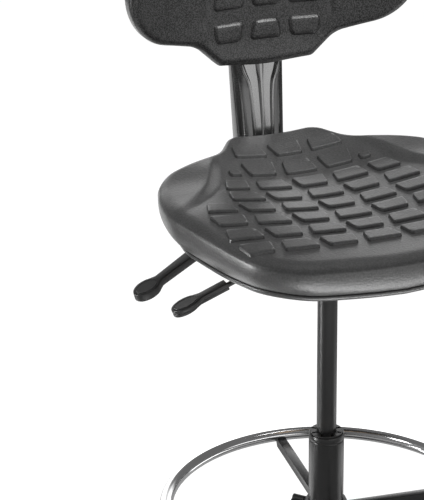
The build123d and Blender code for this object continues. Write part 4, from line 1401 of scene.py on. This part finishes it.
@dataclass
class UprightCover:
    """The fluted moulding round the back bar, leaning back, with a thinner neck behind the backrest."""

    finishes: Finishes
    bottom: float = 768.0
    shoulder: float = 910.0
    top: float = 980.0
    front: Curve = ((768.0, 214.0), (910.0, 232.0))
    rear: Curve = ((768.0, 256.0), (910.0, 262.0))
    half_width: Curve = ((768.0, 34.0), (910.0, 39.5))
    neck_front: float = 238.4
    neck_half_width: float = 37.0
    corner: float = 5.0
    front_turns: Sequence[float] = (20.0, 45.0, 70.0, 90.0)
    rear_turns: Sequence[float] = (0.0, 30.0, 60.0, 90.0)
    panel_share: float = 0.5
    panel: Curve = (
        (768.0, 15.0), (800.0, 15.0), (835.0, 16.5), (865.0, 18.5),
        (885.0, 22.0), (897.0, 28.0), (910.0, 33.0),
    )
    flute: Curve = (
        (0.0, 0.0), (0.03, 0.0), (0.07, 0.5), (0.10, 0.95), (0.13, 1.0),
        (0.33, 1.0), (0.36, 0.95), (0.39, 0.5), (0.42, 0.0),
    )
    flute_depth: Curve = ((768.0, 1.7), (910.0, 5.6))
    flank: Curve = (
        (0.455, 0.0), (0.47, 0.5), (0.485, 0.5), (0.50, 0.0), (0.53, 0.4), (0.56, 1.6), (0.62, 4.0),
        (0.70, 6.6), (0.76, 8.2), (0.79, 8.0), (0.81, 9.2), (0.835, 10.2), (0.85, 9.8), (0.87, 10.8),
    )
    flank_fall: float = 11.0
    neck_flute: float = 1.0
    neck_step: float = 0.5
    levels: int = 36
    sharp: float = 38.0

    def _loop(self, z: float, neck: bool = False) -> np.ndarray:
        """The section at one height.

        Args:
            z: The height.
            neck: True in the thin neck above the shoulder.

        Returns:
            Points round the section.
        """
        level = np.array([min(z, self.shoulder)])
        curves = (self.front, self.rear, self.half_width, self.panel, self.flute_depth)
        front, rear, half, panel, depth = (float(smooth_curve(level, curve)[0]) for curve in curves)
        if neck:
            front, half, depth = self.neck_front, self.neck_half_width, self.neck_flute
        right = []
        flutes = [(across, depth * share) for across, share in self.flute]
        for across, sunk in [*flutes, *self.flank]:
            if across <= self.panel_share:
                x = panel * across / self.panel_share
            else:
                x = panel + (half - panel) * (across - self.panel_share) / (1.0 - self.panel_share)
            right.append((x, front + sunk))
        for angle in np.radians(self.front_turns):
            x = half - self.corner * (1.0 - math.sin(angle))
            right.append((x, front + self.flank_fall + self.corner * (1.0 - math.cos(angle))))
        for angle in np.radians(self.rear_turns):
            x = half - self.corner * (1.0 - math.cos(angle))
            right.append((x, rear - self.corner * (1.0 - math.sin(angle))))
        right.append((0.0, rear))
        left = [(-x, y) for x, y in reversed(right) if x > 0]
        return np.array([(x, y, z) for x, y in right + left])

    def build(self) -> bpy.types.Object:
        """Make the cover.

        Returns:
            The cover piece.
        """
        rings = [self._loop(z) for z in np.linspace(self.bottom, self.shoulder, self.levels)]
        rings += [self._loop(z, neck=True) for z in (self.shoulder + self.neck_step, self.top)]
        return place(
            "upright_shroud",
            skin_of(rings),
            "back_arm",
            Slot.NYLON,
            self.finishes,
            ["upright_cover"],
            self.sharp,
            self.finishes.gloss,
        )


def along_frame(root: Vector, tip: Vector) -> Matrix:
    """Find a lever's own frame, with X along it and Z as near up as that allows.

    Args:
        root: Where the lever starts.
        tip: Where it ends.

    Returns:
        The frame, at the root.
    """
    along = (tip - root).normalized()
    side = Vector((0.0, 0.0, 1.0)).cross(along).normalized()
    turn = Matrix((along, side, along.cross(side))).transposed().to_4x4()
    return Matrix.Translation(root) @ turn


@dataclass
class PaddleLever:
    """A flat lever arm with a rimmed oval paddle at its end."""

    root: Point
    tip: Point
    root_width: float
    neck_width: float
    thickness: float
    paddle_length: float = 42.0
    paddle_width: float = 31.0
    paddle_sides: int = 40
    shoulder_share: float = 0.30
    neck_share: float = 0.25
    edge: float = 1.6
    edge_turn: float = 1.0
    flat_turn: float = 0.01
    rim_inset: float = 3.4
    rim_root: float = 0.4
    rim: Curve = ((0.5, 0.95), (0.7, 0.0), (0.5, -0.4))

    def shape(self, lift: float = 0.0) -> bmesh.types.BMesh:
        """The lever's solid.

        Args:
            lift: How far it is raised along its own Z.

        Returns:
            The bevelled lever in the stool's frame.
        """
        root, tip = Vector(self.root), Vector(self.tip)
        centre = (tip - root).length - self.paddle_length / 2
        mesh = bmesh.new()
        self._oval(mesh, centre, 0.0)
        behind = centre - self.shoulder_share * self.paddle_length
        joined = [e for e in mesh.edges if max(v.co.x for v in e.verts) < behind]
        neck = new_verts(bmesh.ops.extrude_edge_only(mesh, edges=joined))
        spread = max(abs(v.co.y) for v in neck)
        for vert in neck:
            vert.co.x = behind - self.neck_share * self.paddle_length
            vert.co.y *= self.neck_width / 2 / spread
        edges = [e for e in mesh.edges if e.verts[0] in neck and e.verts[1] in neck]
        for vert in new_verts(bmesh.ops.extrude_edge_only(mesh, edges=edges)):
            vert.co.x = 0.0
            vert.co.y *= self.root_width / self.neck_width
        bmesh.ops.recalc_face_normals(mesh, faces=mesh.faces)
        bmesh.ops.dissolve_limit(mesh, angle_limit=self.flat_turn, verts=mesh.verts, edges=mesh.edges)
        tops = new_verts(bmesh.ops.extrude_face_region(mesh, geom=mesh.faces[:]))
        bmesh.ops.translate(mesh, verts=tops, vec=(0.0, 0.0, self.thickness))
        bmesh.ops.recalc_face_normals(mesh, faces=mesh.faces)
        sharp = [e for e in mesh.edges if len(e.link_faces) == 2 and e.calc_face_angle() > self.edge_turn]
        level = [e for e in sharp if abs(e.verts[0].co.z - e.verts[1].co.z) < self.thickness / 2]
        round_edges(mesh, level, self.edge)
        self._rim(mesh, centre)
        bmesh.ops.translate(mesh, verts=mesh.verts, vec=(0.0, 0.0, lift - self.thickness / 2))
        bmesh.ops.transform(mesh, matrix=along_frame(root, tip), verts=mesh.verts)
        return mesh

    def _oval(self, mesh: bmesh.types.BMesh, centre: float, inset: float) -> list[bmesh.types.BMVert]:
        """Lay a filled oval of the paddle's proportions.

        Args:
            mesh: The lever in its own frame.
            centre: Where the paddle's middle is along the lever.
            inset: How far the oval is inside the paddle's edge.

        Returns:
            The oval's vertices.
        """
        made = bmesh.ops.create_circle(mesh, cap_ends=True, segments=self.paddle_sides, radius=1.0)
        for vert in made["verts"]:
            vert.co.x = centre + vert.co.x * (self.paddle_length / 2 - inset)
            vert.co.y = vert.co.y * (self.paddle_width / 2 - inset)
        return made["verts"]

    def _rim(self, mesh: bmesh.types.BMesh, centre: float) -> None:
        """Raise an oval rim on the paddle's top, as a shape of its own.

        Args:
            mesh: The lever in its own frame.
            centre: Where the paddle's middle is along the lever.
        """
        top = max(vert.co.z for vert in mesh.verts)
        oval = self._oval(mesh, centre, self.rim_inset)
        for vert in oval:
            vert.co.z = top - self.rim_root
        floor = oval[0].link_faces[0]
        for inward, climb in self.rim:
            bmesh.ops.inset_region(
                mesh, faces=[floor], thickness=inward, depth=climb, use_boundary=True, use_even_offset=True
            )
        close_holes(mesh)


@dataclass
class Levers:
    """The seat height lever and the back angle lever."""

    finishes: Finishes
    front_root: Point = (-161.4, -31.75, 694.7)
    front_tip: Point = (-238.0, -30.0, 665.5)
    grip_section: Point = (15.5, 15.0, 6.0)
    grip_lift: float = 3.4
    rib_section: Point = (11.5, 11.0, 5.6)
    rib_paddle: Span = (37.0, 26.0)
    rib_lift: float = -2.3
    cam: Point = (-60.0, 77.0, 711.0)
    cam_radius: float = 9.0
    cam_bore: float = 2.55
    cam_width: float = 22.0
    cam_edge: float = 1.0
    cam_steps: int = 40
    rear_elbow: Point = (-161.0, 77.0, 703.0)
    rear_tip: Point = (-266.0, 34.0, 668.5)
    rear_width: float = 18.0
    rear_neck: float = 14.0
    rear_thickness: float = 12.0
    rear_edge: float = 1.6
    run_start: float = 0.8
    run_past: float = 0.4
    sharp: float = 35.0

    def build(self) -> list[bpy.types.Object]:
        """Make both levers.

        Returns:
            The grip of the front lever and the rear lever.
        """
        mesh = PaddleLever(self.front_root, self.front_tip, *self.grip_section).shape(self.grip_lift)
        rib = PaddleLever(self.front_root, self.front_tip, *self.rib_section, *self.rib_paddle)
        join(mesh, rib.shape(self.rib_lift))
        solid = ["front_lever_grip"]
        front = place(
            "height_lever_grip", mesh, "height_lever", Slot.NYLON, self.finishes, solid, self.sharp
        )
        section = (self.rear_width, self.rear_neck, self.rear_thickness)
        mesh = PaddleLever(self.rear_elbow, self.rear_tip, *section).shape()
        join(mesh, self._rear_run())
        join(mesh, self._cam())
        solid = ["rear_lever"]
        rear = place(
            "angle_lever_handle", mesh, "angle_lever", Slot.NYLON, self.finishes, solid, self.sharp
        )
        return [front, rear]

    def _rear_run(self) -> bmesh.types.BMesh:
        """Make the straight bar from the cam to the elbow.

        Returns:
            The bar.
        """
        start, end = Vector(self.cam), Vector(self.rear_elbow)
        first = start + (end - start).normalized() * self.run_start * self.cam_radius
        length = (end - first).length + self.run_past * self.rear_width
        mesh = block((length, self.rear_width, self.rear_thickness), (length / 2, 0.0, 0.0))
        round_edges(mesh, mesh.edges[:], self.rear_edge)
        bmesh.ops.transform(mesh, matrix=along_frame(first, end), verts=mesh.verts)
        return mesh

    def _cam(self) -> bmesh.types.BMesh:
        """Make the bored cam that the lever turns on.

        Returns:
            The cam.
        """
        half, edge = self.cam_width / 2, self.cam_edge
        profile = [
            (self.cam_bore, -half), (self.cam_radius - edge, -half), (self.cam_radius, edge - half),
            (self.cam_radius, half - edge), (self.cam_radius - edge, half), (self.cam_bore, half),
        ]
        mesh = turned(profile, self.cam_steps)
        turn = Matrix.Translation(self.cam) @ Matrix.Rotation(math.pi / 2, 4, "X")
        bmesh.ops.transform(mesh, matrix=turn, verts=mesh.verts)
        return mesh


@dataclass
class Column:
    """The outer column tube with its rolled mouth."""

    finishes: Finishes
    radius: float = 25.0
    foot_radius: float = 24.2
    foot_edge: float = 0.6
    wall: float = 1.8
    foot: float = 66.0
    taper_top: float = 130.0
    top: float = 432.0
    crimp_drop: float = 9.0
    crimp: Curve = ((0.0, -2.2), (0.5, -1.2), (0.7, 0.0), (0.5, 1.2), (0.0, 2.2))
    mouth_outside: Curve = ((0.0, -1.0), (0.25, -0.3), (0.8, 0.0))
    mouth_inside: Curve = ((0.4, 0.0), (0.0, -0.4))
    steps: int = 96
    sharp: float = 25.0

    def build(self) -> bpy.types.Object:
        """Make the tube.

        Returns:
            The tube piece.
        """
        outer, inner, crimp = self.radius, self.radius - self.wall, self.top - self.crimp_drop
        profile = [
            (inner, self.foot),
            (self.foot_radius - self.foot_edge, self.foot),
            (self.foot_radius, self.foot + self.foot_edge),
            (outer, self.taper_top),
        ]
        profile += [(outer - sunk, crimp + rise) for sunk, rise in self.crimp]
        profile += [(outer - inset, self.top + rise) for inset, rise in self.mouth_outside]
        profile += [(inner + inset, self.top + rise) for inset, rise in self.mouth_inside]
        mesh = turned(profile, self.steps)
        return place("column_sleeve", mesh, "base", Slot.STEEL, self.finishes, ["column_tube"], self.sharp)


@dataclass
class FootRing:
    """The chromed ring and its painted spokes."""

    finishes: Finishes
    height: float = 318.0
    radius: float = 229.0
    tube: float = 9.5
    tube_sides: int = 28
    ring_steps: int = 180
    ring_sharp: float = 60.0
    first_spoke: float = -7.0
    spoke_count: int = 4
    spoke_width: float = 14.0
    spoke_depth: float = 14.0
    spoke_top: float = 314.0
    spoke_edge: float = 1.2
    spoke_sharp: float = 30.0
    collar_radius: float = 32.05
    end_past: float = 4.0
    end_rake: float = 0.6

    def build(self) -> list[bpy.types.Object]:
        """Make the ring and the spokes.

        Returns:
            The pieces.
        """
        mesh = bmesh.new()
        turn = Matrix.Translation((self.radius, 0.0, self.height)) @ Matrix.Rotation(math.pi / 2, 4, "X")
        bmesh.ops.create_circle(mesh, segments=self.tube_sides, radius=self.tube, matrix=turn)
        spin_round(mesh, self.ring_steps)
        solid = ["foot_ring"]
        ring = place("chrome_ring", mesh, "footrest", Slot.CHROME, self.finishes, solid, self.ring_sharp)
        pieces = [ring]
        for number in range(self.spoke_count):
            bar = self._spoke(math.radians(self.first_spoke + number * 360.0 / self.spoke_count))
            name = f"ring_bar_{number + 1}"
            solid = [f"foot_ring_spoke_{number + 1}"]
            pieces.append(place(name, bar, "footrest", Slot.STEEL, self.finishes, solid, self.spoke_sharp))
        return pieces

    def _spoke(self, angle: float) -> bmesh.types.BMesh:
        """Make one square bar from the collar to under the ring.

        Args:
            angle: Its direction from the column.

        Returns:
            The bar.
        """
        inner, outer = self.collar_radius, self.radius + self.end_past
        middle = self.spoke_top - self.spoke_depth / 2
        size = (outer - inner, self.spoke_width, self.spoke_depth)
        mesh = block(size, ((outer + inner) / 2, 0.0, middle))
        for vert in mesh.verts:
            if vert.co.x > self.radius and vert.co.z < middle:
                vert.co.x -= self.end_rake * self.spoke_depth
        round_edges(mesh, mesh.edges[:], self.spoke_edge)
        turn = Matrix.Rotation(angle, 3, "Z")
        bmesh.ops.rotate(mesh, cent=(0.0, 0.0, 0.0), matrix=turn, verts=mesh.verts)
        return mesh


def dress_solids(finishes: Finishes) -> None:
    """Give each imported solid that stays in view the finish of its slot.

    Args:
        finishes: The materials.
    """
    slots = {part["node"]: part["material_slot"] for part in frame["record"]["subparts"]}
    for node, solid in frame["nodes"].items():
        if solid.hide_render:
            continue
        solid.data.materials.clear()
        solid.data.materials.append(finishes.of_slot(Slot(slots[node])))
        LOG.info("%s keeps its solid, dressed as %s", node, slots[node])


# Stage, light and camera


@dataclass(frozen=True)
class SoftBox:
    """A soft box that the camera doesn't see, with its places in metres and its spread in degrees.

    Where mirrored is False, shiny surfaces don't show it. Where diffused is False, only they do.
    """

    name: str
    spot: Point
    aim: Point
    size: Span
    power: float
    mirrored: bool = True
    diffused: bool = True
    spread: float = 180.0

    def hang(self) -> None:
        """Put the lamp in the scene."""
        data = bpy.data.lights.new(self.name, "AREA")
        data.shape = "RECTANGLE"
        data.size, data.size_y = self.size
        data.energy = self.power
        data.spread = math.radians(self.spread)
        lamp = bpy.data.objects.new(self.name, data)
        lamp.location = self.spot
        lamp.visible_camera = False
        lamp.visible_glossy = self.mirrored
        lamp.visible_diffuse = self.diffused
        facing = Vector(self.aim) - Vector(self.spot)
        lamp.rotation_euler = facing.to_track_quat("-Z", "Y").to_euler()
        bpy.context.scene.collection.objects.link(lamp)


LAMPS = (
    SoftBox("left_box", (-2.3, -0.05, 2.0), (0.0, 0.0, 0.8), (0.6, 0.6), 9.0),
    SoftBox("top_box", (0.3, 0.1, 3.2), (0.0, 0.0, 0.8), (1.6, 1.6), 42.0, mirrored=False),
    SoftBox(
        "key_box", (0.20, -0.03, 1.35), (0.0, 0.21, 0.96), (0.35, 0.3), 0.45, diffused=False, spread=60.0
    ),
    SoftBox(
        "low_box", (0.20, -0.03, 1.35), (0.0, 0.21, 0.94), (0.35, 0.3), 0.18, mirrored=False, spread=60.0
    ),
    SoftBox("nose_patch", (0.12, -0.82, 0.05), (0.12, -0.82, 3.0), (1.15, 0.75), 11.5, spread=110.0),
    SoftBox(
        "left_panel",
        (-1.36, 0.15, 0.50),
        (-0.2, -0.15, 0.72),
        (0.32, 0.86),
        1.25,
        diffused=False,
        spread=34.0,
    ),
    SoftBox("back_panel", (0.2, 1.25, 0.40), (0.2, 0.0, 0.40), (1.8, 0.7), 5.0, diffused=False),
    SoftBox("left_floor", (-0.45, 0.50, 0.05), (-0.45, 0.50, 3.0), (0.6, 0.6), 1.8, diffused=False),
    SoftBox("right_floor", (0.75, -0.05, 0.05), (0.75, -0.05, 3.0), (0.5, 0.6), 1.6, diffused=False),
)


@dataclass
class Studio:
    """A white sweep, soft light and the photograph's camera."""

    camera_place: Point = (-1.1103, -2.3893, 1.7412)
    camera_yaw: float = 23.68
    camera_pitch: float = 22.8
    lens: float = 149.37
    sensor: float = 36.0
    shift: Span = (-0.148, 0.10)
    room_dark: float = 0.16
    room_band: float = 1.65
    room_side: float = 0.1
    room_front: float = 1.5
    band_foot: Span = (0.04, 0.16)
    band_head: Span = (0.42, 0.52)
    band_reach: Span = (0.74, 0.88)
    side_reach: Span = (0.35, 0.85)
    side_head: Span = (0.45, 0.80)
    front_aim: Span = (0.39, -0.92)
    front_reach: Span = (0.82, 0.95)
    front_foot: Span = (-0.08, 0.0)
    front_head: Span = (0.14, 0.24)
    floor_size: float = 40.0
    floor_tone: float = 0.85
    floor_glow: float = 0.72
    floor_shown: float = 1.32
    floor_mirror: float = 0.3
    floor_mirror_front: float = 0.2
    floor_mirror_left: float = 0.7
    floor_mirror_far: float = 0.9
    floor_mirror_end: float = 1.9
    floor_end: Span = (0.80, 1.35)
    floor_left: Span = (1.8, 3.0)
    floor_left_front: Span = (-0.6, 0.0)
    floor_far: Span = (1.5, 2.3)
    floor_last: Span = (3.2, 5.0)
    floor_last_right: Span = (-1.2, 0.6)

    def build(self) -> None:
        """Make the floor, the world, the lamps and the camera."""
        self._floor()
        self._world()
        for lamp in LAMPS:
            lamp.hang()
        self._camera()

    def _floor(self) -> None:
        """Lay the floor, white to the eye and still shaded by the stool."""
        mesh = bmesh.new()
        bmesh.ops.create_grid(mesh, x_segments=1, y_segments=1, size=self.floor_size / 2)
        floor = new_object("floor", mesh)
        material = bpy.data.materials.new("white_floor")
        material.use_nodes = True
        maker = ShaderMaker(material.node_tree)
        matt = maker.node("ShaderNodeBsdfDiffuse", {}, {"Color": (*grey(self.floor_tone), 1.0)})
        glow = maker.node("ShaderNodeEmission", {}, {"Color": WHITE, "Strength": self._glow(maker)})
        share = self._seen(maker) * self.floor_glow
        shown = maker.node("ShaderNodeMixShader", {}, {0: share, 1: matt, 2: glow})
        maker.raw("ShaderNodeOutputMaterial", {}, {"Surface": shown})
        floor.data.materials.append(material)

    def _glow(self, maker: ShaderMaker) -> Value:
        """How bright the floor is to the eye, and to mirrors, which see it dark near by and bright far off.

        Args:
            maker: The floor's tree.

        Returns:
            The strength of its glow.
        """
        yaw = math.radians(self.camera_yaw)
        across, along, _ = maker.axes(maker.coordinates())
        leftward, forward = 0.0 - across, 0.0 - along
        nearer = (leftward * math.sin(yaw) + forward * math.cos(yaw)).ramp(*self.floor_end)
        far_left = leftward.ramp(*self.floor_left) * forward.ramp(*self.floor_left_front)
        far_front = forward.ramp(*self.floor_far)
        last_front = forward.ramp(*self.floor_last) * across.ramp(*self.floor_last_right)
        level = self.floor_mirror - nearer * (self.floor_mirror - self.floor_mirror_front)
        level = level + far_left * (self.floor_mirror_left - level)
        level = level + far_front * (self.floor_mirror_far - level)
        level = level + last_front * (self.floor_mirror_end - level)
        return self.floor_shown + maker.ray("Glossy") * (level - self.floor_shown)

    @staticmethod
    def _seen(maker: ShaderMaker) -> Value:
        """1 for rays from the camera, a mirror or glass, and 0 for the others."""
        rays = maker.ray("Camera") + maker.ray("Glossy") + maker.ray("Transmission")
        return maker.node("ShaderNodeMath", {"operation": "MINIMUM"}, {0: rays, 1: 1.0})

    def _world(self) -> None:
        """A room that is white to the eye, and to mirrors dark, with bright strips behind and in front."""
        world = bpy.data.worlds.new("sweep")
        bpy.context.scene.world = world
        world.use_nodes = True
        maker = ShaderMaker(world.node_tree)
        across, along, upward = maker.axes(maker.node("ShaderNodeTexCoord", {}, {}, "Generated"))
        yaw = math.radians(self.camera_yaw)
        away = across * math.sin(yaw) + along * math.cos(yaw)
        leftward = along * math.sin(yaw) - across * math.cos(yaw)
        band = upward.ramp(*self.band_foot) * (1.0 - upward.ramp(*self.band_head))
        band = band * away.ramp(*self.band_reach)
        side = leftward.ramp(*self.side_reach) * (1.0 - upward.ramp(*self.side_head))
        facing = (across * self.front_aim[0] + along * self.front_aim[1]).ramp(*self.front_reach)
        front = facing * upward.ramp(*self.front_foot) * (1.0 - upward.ramp(*self.front_head))
        level = self.room_dark + band * self.room_band + side * self.room_side + front * self.room_front
        level = level + maker.ray("Camera") * (1.0 - level)
        sky = maker.node("ShaderNodeBackground", {}, {"Color": WHITE, "Strength": level})
        maker.raw("ShaderNodeOutputWorld", {}, {"Surface": sky})

    def _camera(self) -> None:
        """Set the camera where the photograph was taken from."""
        data = bpy.data.cameras.new("photo_camera")
        data.lens = self.lens
        data.sensor_width = self.sensor
        data.shift_x, data.shift_y = self.shift
        camera = bpy.data.objects.new("photo_camera", data)
        camera.location = self.camera_place
        pitch, yaw = math.radians(90.0 - self.camera_pitch), math.radians(-self.camera_yaw)
        camera.rotation_euler = (pitch, 0.0, yaw)
        bpy.context.scene.collection.objects.link(camera)
        bpy.context.scene.camera = camera


def main() -> None:
    """Build and dress every piece, then the stage."""
    logging.basicConfig(level=logging.INFO, format="%(name)s %(message)s")
    bpy.context.scene.view_settings.view_transform = "Standard"
    finishes = Finishes()
    SeatPad(finishes).build()
    BackrestPad(finishes).build()
    UprightCover(finishes).build()
    Levers(finishes).build()
    Column(finishes).build()
    FootRing(finishes).build()
    dress_solids(finishes)
    Studio().build()


if __name__ == "__main__":
    main()
